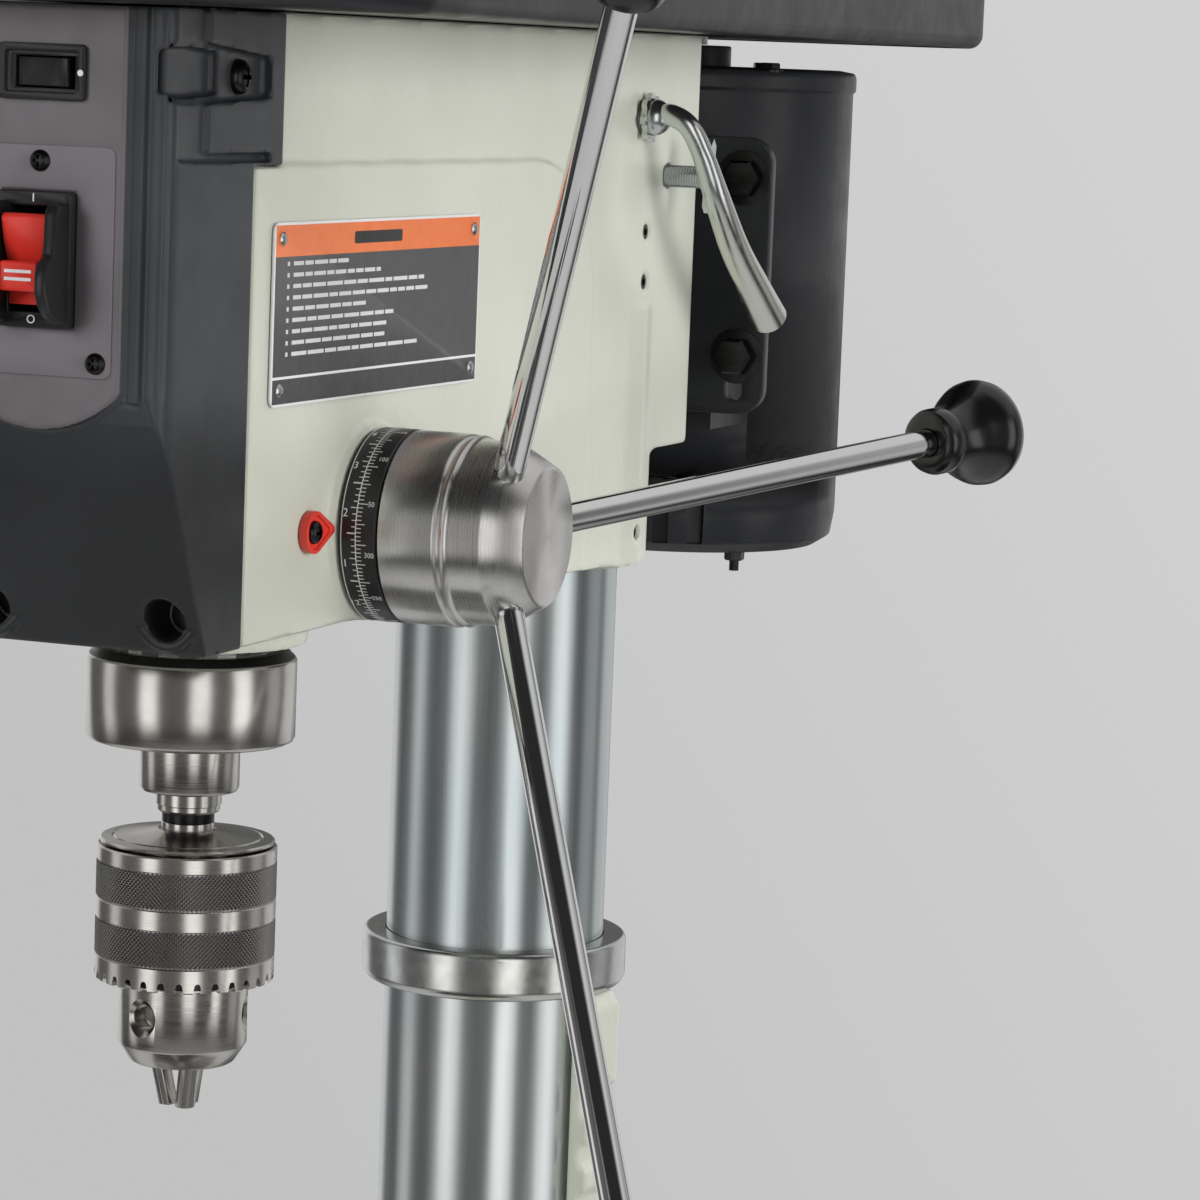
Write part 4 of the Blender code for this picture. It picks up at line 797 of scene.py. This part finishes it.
def make_feed():
    barrel = [(0, 103.0), (20.6, 103.0), (21.9, 102.4), (28.2, 91.6), (28.6, 90.6), (28.6, 81.4), (29.0, 80.2),
              (29.7, 79.6), (29.4, 78.9), (28.9, 78.3), (28.9, 77.4), (29.6, 76.9), (30.0, 76.2), (30.0, 58.9),
              (29.5, 58.4), (21.5, 58.4), (21.5, 46.0), (0, 46.0)]
    piece("hub_barrel", lathe(barrel, (0, HUB.y, HUB.z), X, 160), "feed", HUB_STEEL,
          ["feed_hub"])
    dress(HUB_STEEL, "pinion_shaft")
    ring = [(21.8, 58.1), (29.6, 58.1), (30.1, 57.6), (30.1, 46.5), (29.6, 46.0), (21.8, 46.0)]
    piece("scale_band", lathe(ring, (0, HUB.y, HUB.z), X, 160, True), "scale", BLACK,
          ["scale_ring"])

    def mark(turn, x0, x1, width, radius=30.1):
        """A printed line along the axis at an angle round the scale."""
        flat = block((x0, -width / 2, radius - 0.05), (x1, width / 2, radius + 0.09))
        return moved(flat, Matrix.Translation((0, HUB.y, HUB.z)) @ Matrix.Rotation(turn, 4, "X"))

    marks = []
    for step in range(96):
        turn = 2 * math.pi * step / 96
        reach = 2.9 if step % 8 == 0 else 2.2 if step % 4 == 0 else 1.5
        marks.append(mark(turn, 51.7 - reach, 51.7, 0.45 if step % 8 == 0 else 0.3))
    for step in range(150):
        turn = 2 * math.pi * step / 150 + 0.01
        reach = 3.4 if step % 10 == 0 else 2.8 if step % 5 == 0 else 1.7
        marks.append(mark(turn, 51.7, 51.7 + reach, 0.28))
    piece("scale_marks", merged(*marks), "scale", WHITE)
    lines = [lathe([(30.1, x + w), (30.2, x + w), (30.2, x), (30.1, x)], (0, HUB.y, HUB.z), X, 160, True)
             for x, w in ((51.5, 0.3), (46.7, 0.25))]
    piece("scale_lines", merged(*lines), "scale", WHITE)
    for index in range(12):
        turn = math.pi / 2 + math.radians(-11.6) - 2 * math.pi * index / 12
        text = str((index + 2) % 12 or 12)
        words(f"inch_{index + 1}", text, 3.6, spot_for(turn, 47.9), "scale", WHITE, 0.9, 0.06)
        words(f"millimetre_{index + 1}", str(50 * (index % 6 + 1)), 2.3, spot_for(turn - 0.10, 56.0),
              "scale", WHITE, 0.9, 0.06)

    for index in range(3):
        out = handle_axis(index)
        root = Vector((85.0, HUB.y, HUB.z))
        bar = pipe([root + out * 21.4, root + out * 60, root + out * 120, root + out * 227], [4.8] * 4, 64)
        piece(f"handle_rod_{index + 1}", bar, "feed", CHROME, [f"feed_rod_{index + 1}"])
        bead = pipe([root + out * a for a in (20.5, 22.0, 23.2, 24.6, 26.2)], [7.2, 6.9, 6.1, 5.4, 4.9], 32)
        for vert in bead.verts:
            wander = noise.noise(vert.co * 0.55)
            vert.co += (vert.co - root - out * 23.0).normalized() * wander * 1.1
        piece(f"rod_weld_{index + 1}", bead, "feed", HUB_STEEL)
        bell = [(0, 254.5), (6.0, 254.2), (11.0, 253.2), (15.2, 251.2), (17.7, 248.4), (18.5, 245.4), (18.2, 242.6),
                (16.8, 239.4), (14.4, 236.2), (12.4, 233.0), (11.0, 229.6), (10.4, 227.0), (10.2, 226.0),
                (11.0, 225.4), (11.5, 224.4), (11.5, 219.4), (10.9, 217.8), (9.4, 216.8), (7.6, 216.4),
                (5.1, 216.6), (5.1, 227.4), (0, 227.4)]
        piece(f"handle_knob_{index + 1}", lathe(bell, root, out, 96), "feed", KNOB,
              [f"feed_knob_{index + 1}"])


def spot_for(turn, x):
    """A place on the scale at a distance along its axis, for upright figures facing outwards."""
    out = Matrix.Rotation(turn, 3, "X") @ Z
    up = X.cross(out) * -1
    frame_of = Matrix((X, -up, out)).transposed() if X.cross(-up).dot(out) > 0 else Matrix((X, up, out)).transposed()
    return Matrix.Translation(Vector((x, HUB.y, HUB.z)) + out * 30.12) @ frame_of.to_4x4()


# ---- quill, spindle and chuck ----
def make_quill():
    collar = [(23.8, 103.4), (29.2, 103.4), (29.6, 103.2), (31.9, 100.9), (32.3, 100.2), (32.3, 76.4), (31.7, 75.4),
              (30.9, 75.0), (17.3, 75.0), (16.5, 75.6), (16.5, 77.2), (23.8, 77.2)]
    piece("collar_ring", lathe(collar, (0, 0, 0), Z, 160, True), "quill", SPINDLE_STEEL,
          ["quill_collar"])
    # Painted shade: a thin dark ring laid over the collar's chamfered top, where shade falls under the head.
    rim = lathe([(27.0, 103.5), (29.3, 103.5), (31.7, 101.1), (31.7, 100.8), (29.0, 102.9), (27.0, 102.9)],
                (0, 0, 0.12), Z, 160, True)
    piece("collar_shade_ring", rim, "quill", OXIDE)
    dress(SPINDLE_STEEL, "quill_sleeve", "quill_bearing")
    top = node_box("spindle")[1].z
    nose = [(0, top), (8.5, top), (9.0, top - 0.6), (9.0, 262.0), (12.0, 260.0), (12.0, 76.5), (15.5, 76.5),
            (15.5, 60.2), (14.9, 59.0), (10.6, 58.6), (10.2, 58.1), (10.2, 54.6), (9.8, 54.3), (9.8, 52.9), (9.3, 52.2),
            (7.8, 52.2), (7.7, 49.2), (8.2, 48.8), (8.2, 24.0), (0, 24.0)]
    piece("spindle_shaft", lathe(nose, (0, 0, 0), Z, 128), "spindle", SPINDLE_STEEL,
          ["spindle"])
    # Painted shade: a dark ring over the spindle's recessed neck between its shoulder and the chuck.
    neck_shade = lathe(eased([(8.1, 52.1), (8.1, 49.0), (7.0, 49.0)], 0.1), (0, 0, 0), Z, 96)
    piece("spindle_neck_shade", neck_shade, "spindle", OXIDE)
    body = [(8.3, 46.6), (9.0, 46.8), (9.6, 46.6), (22.6, 44.5), (23.0, 44.0), (23.4, 44.3), (26.6, 43.9), (27.1, 43.4),
            (27.0, 42.9), (25.6, 42.5), (20.8, 42.4), (20.8, 1.0), (20.05, 0.6), (20.05, -20.2), (19.7, -20.9),
            (16.4, -26.0), (15.6, -26.5), (4.2, -26.5), (3.6, -25.0), (3.6, -10.0), (8.3, -9.0)]
    shell = to_object("body", lathe(body, (0, 0, 0), Z, 128, True))
    cutters = []
    turn_zero = math.atan2(-0.97, -0.24)
    for index in range(3):
        turn = turn_zero + math.radians(120 * index)
        out = Vector((math.cos(turn), math.sin(turn), 0))
        hole = [(0, 6), (6.2, 6), (6.2, 0.9), (4.2, -0.9), (4.2, -6.2), (0, -7.4)]
        cutters.append(lathe(hole, Vector((0, 0, -10.5)) + out * 19.3, out, 40))
        turn += math.radians(60)
        out = Vector((math.cos(turn), math.sin(turn), 0))
        tip = Vector((0, 0, -40.7)) + out * 3.9
        slant = out * math.sin(math.radians(12)) + Z * math.cos(math.radians(12))
        cutters.append(pipe([tip + slant * 8, tip + slant * 49.5], [3.4, 3.4], 32))
    carve(shell, cutters)
    piece("chuck_shell", shell, "spindle", SPINDLE_STEEL, ["chuck_body"])

    for index in range(3):
        turn = turn_zero + math.radians(120 * index + 60)
        out = Vector((math.cos(turn), math.sin(turn), 0))
        side = Z.cross(out)
        tip = Vector((0, 0, -40.7)) + out * 3.9
        slant = out * math.sin(math.radians(12)) + Z * math.cos(math.radians(12))
        flat = (out - slant * out.dot(slant)).normalized()
        section = [(math.cos(math.radians(a)) * 3.15, math.sin(math.radians(a)) * 3.1)
                   for a in (-15, 20, 55, 90, 125, 160, 195)] + [(0.0, -3.15)]
        turned = Matrix((side, flat, slant)).transposed().to_4x4()
        jaw = to_object("jaw", moved(prism(section, -2.5, 35.5), Matrix.Translation(tip) @ turned))
        carve(jaw, [block((-20, -20, -60), (20, 20, -40.9))])
        bevel(jaw, 0.2, 2)
        settle(jaw)
        piece(f"jaw_face_{index + 1}", jaw, f"jaw_{index + 1}", SPINDLE_STEEL,
              [f"chuck_jaw_{index + 1}"])

    def band(high, low, radius=27.86, inner=21.1):
        wall = [(inner, high), (radius - 0.5, high), (radius, high - 0.5), (radius, low + 0.4), (radius - 0.4, low),
                (inner, low)]
        return lathe(wall, (0, 0, 0), Z, 160, True)

    toothed = [(21.1, 7.6), (27.5, 7.6), (27.86, 7.2), (27.86, 0.4), (27.5, 0), (21.1, 0)]
    teeth = to_object("teeth", lathe(toothed, (0, 0, 0), Z, 186, True))
    slots = []
    start = math.radians(-68.4 + 1.35)
    for index in range(31):
        turn = start + 2 * math.pi * index / 31
        outline = [(1.35, -1.0), (1.2, 1.2)] + arc((0, 2.3), 0.95, 0, 180, 8) + [(-1.2, 1.2), (-1.35, -1.0)]
        place = Matrix.Rotation(turn - math.pi / 2, 4, "Z")
        slots.append(moved(prism(outline, 24.5, 31.0, "y"), place))
    carve(teeth, [merged(*slots)])
    piece("chuck_teeth", teeth, "chuck_sleeve", SPINDLE_STEEL, ["chuck_sleeve"])
    # Painted shade: a dark ring behind the tooth slots, so the slots read as deep shadowed gaps.
    floor = lathe([(21.0, 6.8), (25.2, 6.8), (25.2, 0.5), (21.0, 0.5)], (0, 0, 0), Z, 128, True)
    piece("chuck_slot_shade_ring", floor, "chuck_sleeve", OXIDE)
    piece("chuck_band", merged(band(42.0, 36.9), band(25.6, 18.9)), "chuck_sleeve", SPINDLE_STEEL)
    for name, low, high in (("upper", 25.4, 37.1), ("lower", 7.4, 19.1)):
        piece(f"chuck_knurl_{name}", knurl(27.55, low, high), "chuck_sleeve", KNURL)


def knurl(radius, low, high, pitch=1.4, depth=0.42):
    """A band of small diamond points between two heights."""
    around = int(2 * math.pi * radius / pitch)
    rows = int((high - low) / (pitch / 2))
    bm = bmesh.new()
    rings = []
    for row in range(rows + 1):
        height = low + (high - low) * row / rows
        ring = []
        for step in range(around * 2):
            raised = depth if (row + step) % 2 == 0 else 0.0
            if row in (0, rows):
                raised = 0.0
            angle = math.pi * step / around
            ring.append(bm.verts.new(((radius + raised) * math.cos(angle), (radius + raised) * math.sin(angle),
                                      height)))
        rings.append(ring)
    for row, (lower, upper) in enumerate(zip(rings, rings[1:])):
        count = len(lower)
        for step in range(count):
            after = (step + 1) % count
            if (row + step) % 2 == 0:
                bm.faces.new((lower[step], lower[after], upper[step]))
                bm.faces.new((lower[after], upper[after], upper[step]))
            else:
                bm.faces.new((lower[step], lower[after], upper[after]))
                bm.faces.new((lower[step], upper[after], upper[step]))
    inner = []
    for height in (low, high):
        inner.append([bm.verts.new((21.2 * math.cos(math.pi * s / around), 21.2 * math.sin(math.pi * s / around),
                                    height)) for s in range(around * 2)])
    for a, b in ((inner[0], rings[0]), (rings[-1], inner[1]), (inner[1], inner[0])):
        for step in range(len(a)):
            after = (step + 1) % len(a)
            bm.faces.new((a[step], a[after], b[after], b[step]))
    return bm


# ---- belt guard, pulleys and belts ----
def guard_outline(inset, radius=50.0):
    half, front, rear = 107.0 - inset, -125.0 + inset, 530.0 - inset
    return rounded((-half, front), (half, rear), radius - inset, 14)


def make_guard():
    low, high = node_box("belt_guard_lid")
    lid = to_object("lid", prism(guard_outline(0), low.z, high.z))
    bevel(lid, 9.0, 6, 60)
    lid.modifiers["edges"].limit_method = "WEIGHT"
    edge_weight(lid, lambda a, b: 1.0 if a.z + b.z > 2 * high.z - 0.1 else 0.6 if a.z + b.z < 2 * low.z + 0.1 else 0.0)
    settle(lid)
    carve(lid, [prism(guard_outline(5.0), low.z - 10, high.z - 2.5)])
    rib = prism(guard_outline(26, 50), high.z - 0.01, high.z + 3.0)
    carve(lid, [rib], "UNION")
    bevel(lid, 0.8, 2, 50)
    piece("guard_lid_shell", settle(lid), "guard_lid", BLACK_PAINT, ["belt_guard_lid"])
    dress(BLACK_PAINT, "belt_guard_base")
    knob_low, knob_high = node_box("lid_knob")
    profile = [(0, 19.0), (6, 18.8), (10.0, 18.0), (12.4, 16.0), (13.0, 13.0), (12.4, 9.6), (11.0, 6.0), (8.4, 2.4),
               (7.5, 0.0), (0, 0)]
    centre = (knob_low + knob_high) / 2
    piece("lid_knob_body", lathe(profile, (knob_low.x, centre.y, centre.z), X, 64), "guard_lid", KNOB,
          ["lid_knob"])
    hinges = []
    for y in (60, 340):
        hinges.append(pipe([(-108.6, y - 18, 300.8), (-108.6, y + 18, 300.8)], [2.4, 2.4], 24))
    piece("lid_hinge_knuckles", merged(*hinges), "frame", ZINC_PART)


def edge_weight(obj, wanted):
    """Mark the edges to be rounded by a weighted bevel; places are in local millimetres."""
    layer = obj.data.attributes.new("bevel_weight_edge", "FLOAT", "EDGE")
    verts = obj.data.vertices
    for edge in obj.data.edges:
        a, b = (local(verts[index].co) for index in edge.vertices)
        layer.data[edge.index].value = wanted(a, b)


def pulley(name, radii, bore, origin, body, node, shaft=()):
    """A stepped pulley of four V-grooves."""
    groove = []
    for level, radius in enumerate(radii):
        base = level * 18.0
        groove += [(radius + 8.2, base + 0.3), (radius + 9.0, base + 1.0), (radius + 9.0, base + 1.8),
                   (radius, base + 5.2), (radius, base + 13.8), (radius + 9.0, base + 16.6),
                   (radius + 9.0, base + 17.2), (radius + 8.2, base + 17.8)]
    profile = [(bore, 72.0)] + list(reversed(groove)) + [(bore, 0.0)] + list(shaft)
    piece(name, lathe(profile, origin, Z, 128, not shaft), body, ALUMINIUM, [node])


def make_drive():
    steps = (58, 51, 43, 36)
    others = [94 - step for step in steps]
    pulley("spindle_pulley_wheel", steps, 9.5, (0, 0, 317), "spindle_pulley", "spindle_pulley")
    pulley("idler_pulley_wheel", others, 7.8, (0, 200, 317), "idler_pulley", "idler_pulley")
    pulley("motor_pulley_wheel", steps, 0.01, (0, 438, 317), "motor_pulley", "motor_pulley",
           [(7.0, 0.0), (7.0, -21.7), (0.0, -21.7)])
    for name, start, end, moving in (("belt_front", 60.0, 140.0, "idler_arm"), ("belt_rear", 250.0, 390.0, "motor")):
        loop = node_copy(name)
        loop.name = f"{name}_loop"
        loop.data.materials.clear()
        loop.data.materials.append(RUBBER)
        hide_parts(name)
        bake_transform(loop)
    dress(SPINDLE_STEEL, "pulley_bearing")
    arm = bevel(node_copy("idler_arm"), 0.8, 2)
    piece("idler_link", settle(arm), "idler_arm", TABLE_IRON, ["idler_arm"])


# ---- motor and its slide ----
def make_motor():
    low, high = node_box("motor_body")
    base, centre = low.z, 438.0
    shell = eased([(0, 189.4), (60, 189.4), (66.2, 188.4), (67, 186.4), (67, 181.2), (65.9, 180.6), (65.9, 14),
                   (64.4, 4.4), (58, 0.2), (0, 0.0)], 1.0)
    body = to_object("motor", lathe(shell, (0, centre, base), Z, 160))
    foot = block((-46, 348.3, 150.0), (46, centre - 30, 256.0))
    boss = lathe(eased([(0, 197.4), (16.6, 197.4), (16.6, 180.0), (0, 180.0)], 1.0), (0, centre, base), Z, 64)
    carve(body, [foot, boss], "UNION")
    vents = []
    for turn in range(160, 300, 12):
        vents.append(moved(block((61, -3.0, 4.2), (72, 3.0, 26.0)),
                           Matrix.Translation((0, centre, base)) @ Matrix.Rotation(math.radians(turn + 6), 4, "Z")))
    shaft = lathe([(0, 40), (4.0, 40), (4.0, -60), (0, -60)], (0, centre, base + 190), Z, 32)
    seam = lathe([(70, 6.6), (65.0, 6.6), (65.0, 5.4), (70, 5.4)], (0, centre, base + 24), Z, 160, True)
    carve(body, [shaft, seam] + [merged(*vents)])
    piece("motor_shell", body, "motor", BLACK_PAINT, ["motor_body"])
    bolts = []
    for turn in (-41, 79, 199):
        x, y = 52 * math.cos(math.radians(turn)), 52 * math.sin(math.radians(turn))
        bolts.append(hex_head((x, centre + y, base + 0.2), -Z, 7, 3.6, 5.4))
        bolts.append(pipe([(x, centre + y, base - 3), (x, centre + y, base - 7.5)], [1.9, 1.9], 16))
    for turn in (-40, 80, 200):
        x, y = 61.5 * math.cos(math.radians(turn)), 61.5 * math.sin(math.radians(turn))
        bolts.append(hex_head((x, centre + y, base + 189.0), Z, 7, 2.4, 5.2))
    piece("motor_bolts", merged(*bolts), "motor", OXIDE)

    plate = to_object("plate", prism(rounded((-68, 157), (68, 261), 10, 10), 342.0, 348.0, "y"))
    slots = [prism(rounded((side * 56.5 - 3.5, 162), (side * 56.5 + 3.5, 186), 3.4), 330, 360, "y")
             for side in (-1, 1)]
    carve(plate, slots)
    bevel(plate, 0.9, 3)
    piece("motor_mount_plate", settle(plate), "motor", BLACK_PAINT, ["motor_plate"])
    bolts = [hex_head((side * 57.3, 341.9, z), -Y, 13, 6.5, 10.5) for side in (-1, 1) for z in (245.8, 179.0)]
    piece("motor_plate_bolts", merged(*bolts), "motor", OXIDE)
    for name in ("left", "right"):
        bar_low, bar_high = node_box(f"slide_bar_{name}")
        x, z = (bar_low.x + bar_high.x) / 2, (bar_low.z + bar_high.z) / 2
        bar = lathe(eased([(0, bar_high.y), (7.5, bar_high.y), (7.5, bar_low.y), (0, bar_low.y)], 0.8),
                    (x, 0, z), Y, 64)
        piece(f"motor_slide_{name}", bar, "motor", ZINC, [f"slide_bar_{name}"])

    boss = Vector((0, 253.5, 268.0))
    path = smooth_route([(50.8, 253.5, 268.0), (55.5, 253.0, 268.9), (60.0, 252.5, 269.0), (66.0, 253.3, 265.3),
                         (70.0, 257.0, 256.3), (74.0, 262.5, 241.5), (77.0, 276.6, 222.5), (79.0, 294.9, 207.3),
                         (80.0, 310.0, 196.2)])
    radii = []
    for step in range(len(path)):
        t = step / (len(path) - 1)
        radii.append(3.9 + 2.9 * max(0.0, t - 0.5) / 0.5 + 1.2 * max(0.0, 0.1 - t) / 0.1)
    lever = merged(pipe(path, radii, 48),
                   lathe([(0, 50.4), (5.5, 50.4), (5.5, 34.0), (0, 34.0)], (0, boss.y, boss.z), X, 32))
    ball = bmesh.new()
    bmesh.ops.create_uvsphere(ball, u_segments=32, v_segments=20, radius=6.6,
                              matrix=Matrix.Translation(boss + Vector((52.5, 0, 0.2))))
    piece("release_lever", merged(lever, ball), "lever", ZINC_PART, ["tension_lever"])
    crown = []
    for step in range(48):
        angle = 2 * math.pi * step / 48
        crown.append((8.0 + (0.8 if step // 3 % 2 == 0 else -0.6), angle))
    outline = [(r * math.cos(a) + boss.y, r * math.sin(a) + boss.z) for r, a in crown]
    piece("lever_crown", prism(outline, side_x(boss.y) + 0.2, side_x(boss.y) + 2.2, "x"), "lever", ZINC_PART)

    threads = []
    x = 37.9
    while x < 64.0:
        threads += [(3.5, x), (4.0, x + 0.35), (4.0, x + 0.5), (3.5, x + 0.85)]
        x += 1.0
    profile = [(0, x)] + list(reversed(threads)) + [(0, 37.9)]
    stud = lathe(profile, (0, 280, 247), X, 40)
    leaf = [(278.6, 247.0), (277.6, 236.5), (280.0, 234.2), (282.4, 236.5), (281.4, 247.0), (282.6, 258.5),
            (280.0, 261.0), (277.4, 258.5)]
    blade = to_object("blade", prism(leaf, 63.6, 66.4, "x"))
    carve(blade, [stud], "UNION")
    bevel(blade, 0.4, 2, 60)
    piece("wing_bolt", blade, "wing", ZINC_PART, ["wing_screw"])


# ---- bracket and table ----
def make_table():
    bracket = cast(node_copy("table_bracket"), 1.5, 4)
    piece("bracket_casting", bracket, "bracket", HEAD_PAINT, ["table_bracket"])
    arm = cast(node_copy("table_arm"), 1.4, 4)
    piece("arm_casting", arm, "tilt", HEAD_PAINT, ["table_arm"])
    table = bevel(node_copy("work_table"), 1.2, 3, 40)
    piece("table_plate", settle(table), "table", TABLE_IRON, ["work_table"])
    for name, node, body in (("crank_web", "table_crank", "crank"), ("column_clamp", "column_lock_handle",
                             "column_lock"), ("table_clamp", "table_lock_handle", "table_lock")):
        part = node_copy(node)
        cast(part, 0.7, 2)
        piece(name, part, body, ZINC_PART, [node])
    low, high = node_box("crank_grip")
    y, z = (low.y + high.y) / 2, (low.z + high.z) / 2
    start = low.x - 8.0
    grip = [(0, 48.0), (5.5, 47.6), (8.0, 46.4), (10.0, 43.4), (10.5, 40.0), (9.7, 28.0), (9.2, 18.0), (9.6, 12.0),
            (10.5, 8.6), (9.8, 8.0), (4.1, 8.0), (4.1, 45.4), (0, 45.4)]
    piece("crank_handle", lathe(grip, (start, y, z), X, 64), "grip", KNOB, ["crank_grip"])


# ---- stage, light and camera ----
def make_stage():
    floor = bpy.data.objects.new("floor", bpy.data.meshes.new("floor"))
    shape = bmesh.new()
    bmesh.ops.create_circle(shape, cap_ends=True, segments=96, radius=2.2)
    shape.to_mesh(floor.data)
    floor.location = (0, -0.1, -0.0005)
    SCENE.collection.objects.link(floor)
    look = Look("floor_surface", 0.9)
    look.shader.inputs["Base Color"].default_value = (0.60, 0.60, 0.60, 1)
    radius = look.add("VectorMath", {0: look.place}, 1, operation="LENGTH")
    fade = look.span(radius, 1.2, 2.15, 1.0, 0.0)
    look.tree.links.new(fade, look.shader.inputs["Alpha"])
    floor.data.materials.append(look.material)


def make_world():
    """A pale studio seen directly, and bright strip lights seen only in reflections."""
    world = bpy.data.worlds.new("studio")
    SCENE.world = world
    world.use_nodes = True
    tree = world.node_tree
    tree.nodes.clear()

    def add(kind, inputs, output=0, **settings):
        node = tree.nodes.new("ShaderNode" + kind)
        for key, value in settings.items():
            setattr(node, key, value)
        for key, value in inputs.items():
            if isinstance(value, bpy.types.NodeSocket):
                tree.links.new(value, node.inputs[key])
            else:
                node.inputs[key].default_value = value
        return node.outputs[output]

    way = add("TexCoord", {}, 0)
    parts = tree.nodes.new("ShaderNodeSeparateXYZ")
    tree.links.new(way, parts.inputs[0])
    azimuth = add("Math", {0: parts.outputs[1], 1: parts.outputs[0]}, operation="ARCTAN2")
    round_the_room = add("MapRange", {"Value": azimuth, "From Min": -math.pi, "From Max": math.pi})
    ramp = tree.nodes.new("ShaderNodeValToRGB")
    tree.links.new(round_the_room, ramp.inputs[0])
    stops = [(0.0, ROOM), (1.0, ROOM)]
    for centre, width, brightness in SOFTBOXES:
        for offset, level in ((-width / 2 - EDGE, ROOM), (-width / 2, brightness), (width / 2, brightness),
                              (width / 2 + EDGE, ROOM)):
            stops.append(((centre + offset + 180) / 360, level))
    points = ramp.color_ramp.elements
    while len(points) < len(stops):
        points.new(0.5)
    for point, (position, level) in zip(points, sorted(stops)):
        point.position = position
        point.color = (level, level, level, 1)
    strips = ramp.outputs[0]
    height = parts.outputs[2]
    lower = add("MapRange", {"Value": height, "From Min": -0.55, "From Max": -0.30},
                interpolation_type="SMOOTHSTEP")
    upper = add("MapRange", {"Value": height, "From Min": 0.55, "From Max": 0.25}, interpolation_type="SMOOTHSTEP")
    band = add("Math", {0: lower, 1: upper}, operation="MULTIPLY")
    lit = add("Math", {0: strips, 1: band}, operation="MULTIPLY")
    lit = add("Math", {0: lit, 1: ROOM * 0.25}, operation="ADD")
    rearward = add("MapRange", {"Value": parts.outputs[1], "From Min": -0.25, "From Max": 0.15},
                   interpolation_type="SMOOTHSTEP")
    overhead = add("MapRange", {"Value": height, "From Min": 0.30, "From Max": 0.60, "To Max": 0.6},
                   interpolation_type="SMOOTHSTEP")
    lit = add("Math", {0: lit, 1: add("Math", {0: rearward, 1: overhead}, operation="MULTIPLY")},
              operation="ADD")
    studio = tree.nodes.new("ShaderNodeBackground")
    tree.links.new(lit, studio.inputs["Strength"])
    studio.inputs["Color"].default_value = (1.0, 0.995, 0.985, 1)
    backdrop = tree.nodes.new("ShaderNodeBackground")
    backdrop.inputs["Color"].default_value = (0.635, 0.637, 0.640, 1)
    side = add("VectorMath", {0: way, 1: (0.8, 0.25, 0.55)}, 1, operation="DOT_PRODUCT")
    shade = add("MapRange", {"Value": side, "From Min": -0.25, "From Max": 0.05, "To Min": 0.84, "To Max": 1.0})
    tree.links.new(shade, backdrop.inputs["Strength"])
    seen = add("LightPath", {}, 0)
    mix = tree.nodes.new("ShaderNodeMixShader")
    tree.links.new(seen, mix.inputs[0])
    tree.links.new(studio.outputs[0], mix.inputs[1])
    tree.links.new(backdrop.outputs[0], mix.inputs[2])
    target = tree.nodes.new("ShaderNodeOutputWorld")
    tree.links.new(mix.outputs[0], target.inputs[0])


ROOM = 0.10                  # light of the room between the softboxes
EDGE = 7.0                   # soft edge of a softbox, in degrees
SOFTBOXES = ((-166, 10, 0.75), (-112, 13, 1.3), (-54, 14, 1.35), (-6, 14, 1.35), (38, 14, 0.4),
             (78, 34, 0.6), (136, 24, 0.7))


def area_light(name, place, aim, width, height, power, colour=(1, 1, 1)):
    light = bpy.data.lights.new(name, "AREA")
    light.shape = "RECTANGLE"
    light.size = width
    light.size_y = height
    light.energy = power
    light.color = colour
    light.spread = math.radians(110)
    holder = bpy.data.objects.new(name, light)
    holder.location = place
    holder.rotation_euler = (Vector(place) - Vector(aim)).to_track_quat("Z", "Y").to_euler()
    holder.visible_glossy = False
    SCENE.collection.objects.link(holder)


def make_lights():
    aim = (0, -0.1, 1.25)
    area_light("key_light", (2.6, -0.8, 1.65), aim, 1.6, 1.4, 17)
    area_light("front_light", (-1.2, -2.6, 2.1), aim, 1.4, 1.4, 15)
    area_light("rear_light", (0.9, 2.2, 2.0), aim, 1.2, 1.6, 16)
    area_light("left_light", (-2.6, 0.2, 1.8), aim, 1.4, 1.4, 12)


def make_camera():
    data = bpy.data.cameras.new("view")
    data.lens = 126.8
    data.sensor_width = 36.0
    data.shift_y = -0.0056
    data.clip_start = 0.05
    holder = bpy.data.objects.new("view", data)
    around, down, roll = math.radians(20.33), math.radians(7.18), math.radians(2.24)
    ahead = Vector((-math.sin(around) * math.cos(down), math.cos(around) * math.cos(down), -math.sin(down)))
    right = Vector((math.cos(around), math.sin(around), 0))
    up = right.cross(ahead)
    level = math.cos(roll) * right + math.sin(roll) * up
    upright = math.cos(roll) * up - math.sin(roll) * right
    turn = Matrix((level, upright, -ahead)).transposed().to_4x4()
    holder.matrix_world = Matrix.Translation((0.5653, -1.4277, 1.4774)) @ turn
    SCENE.collection.objects.link(holder)
    SCENE.camera = holder


for maker in (make_column, make_head, make_cover, make_switches, make_trim, make_feed, make_quill, make_guard,
              make_drive, make_motor, make_table, make_stage, make_world, make_lights, make_camera):
    maker()

SCENE.view_settings.view_transform = "Standard"
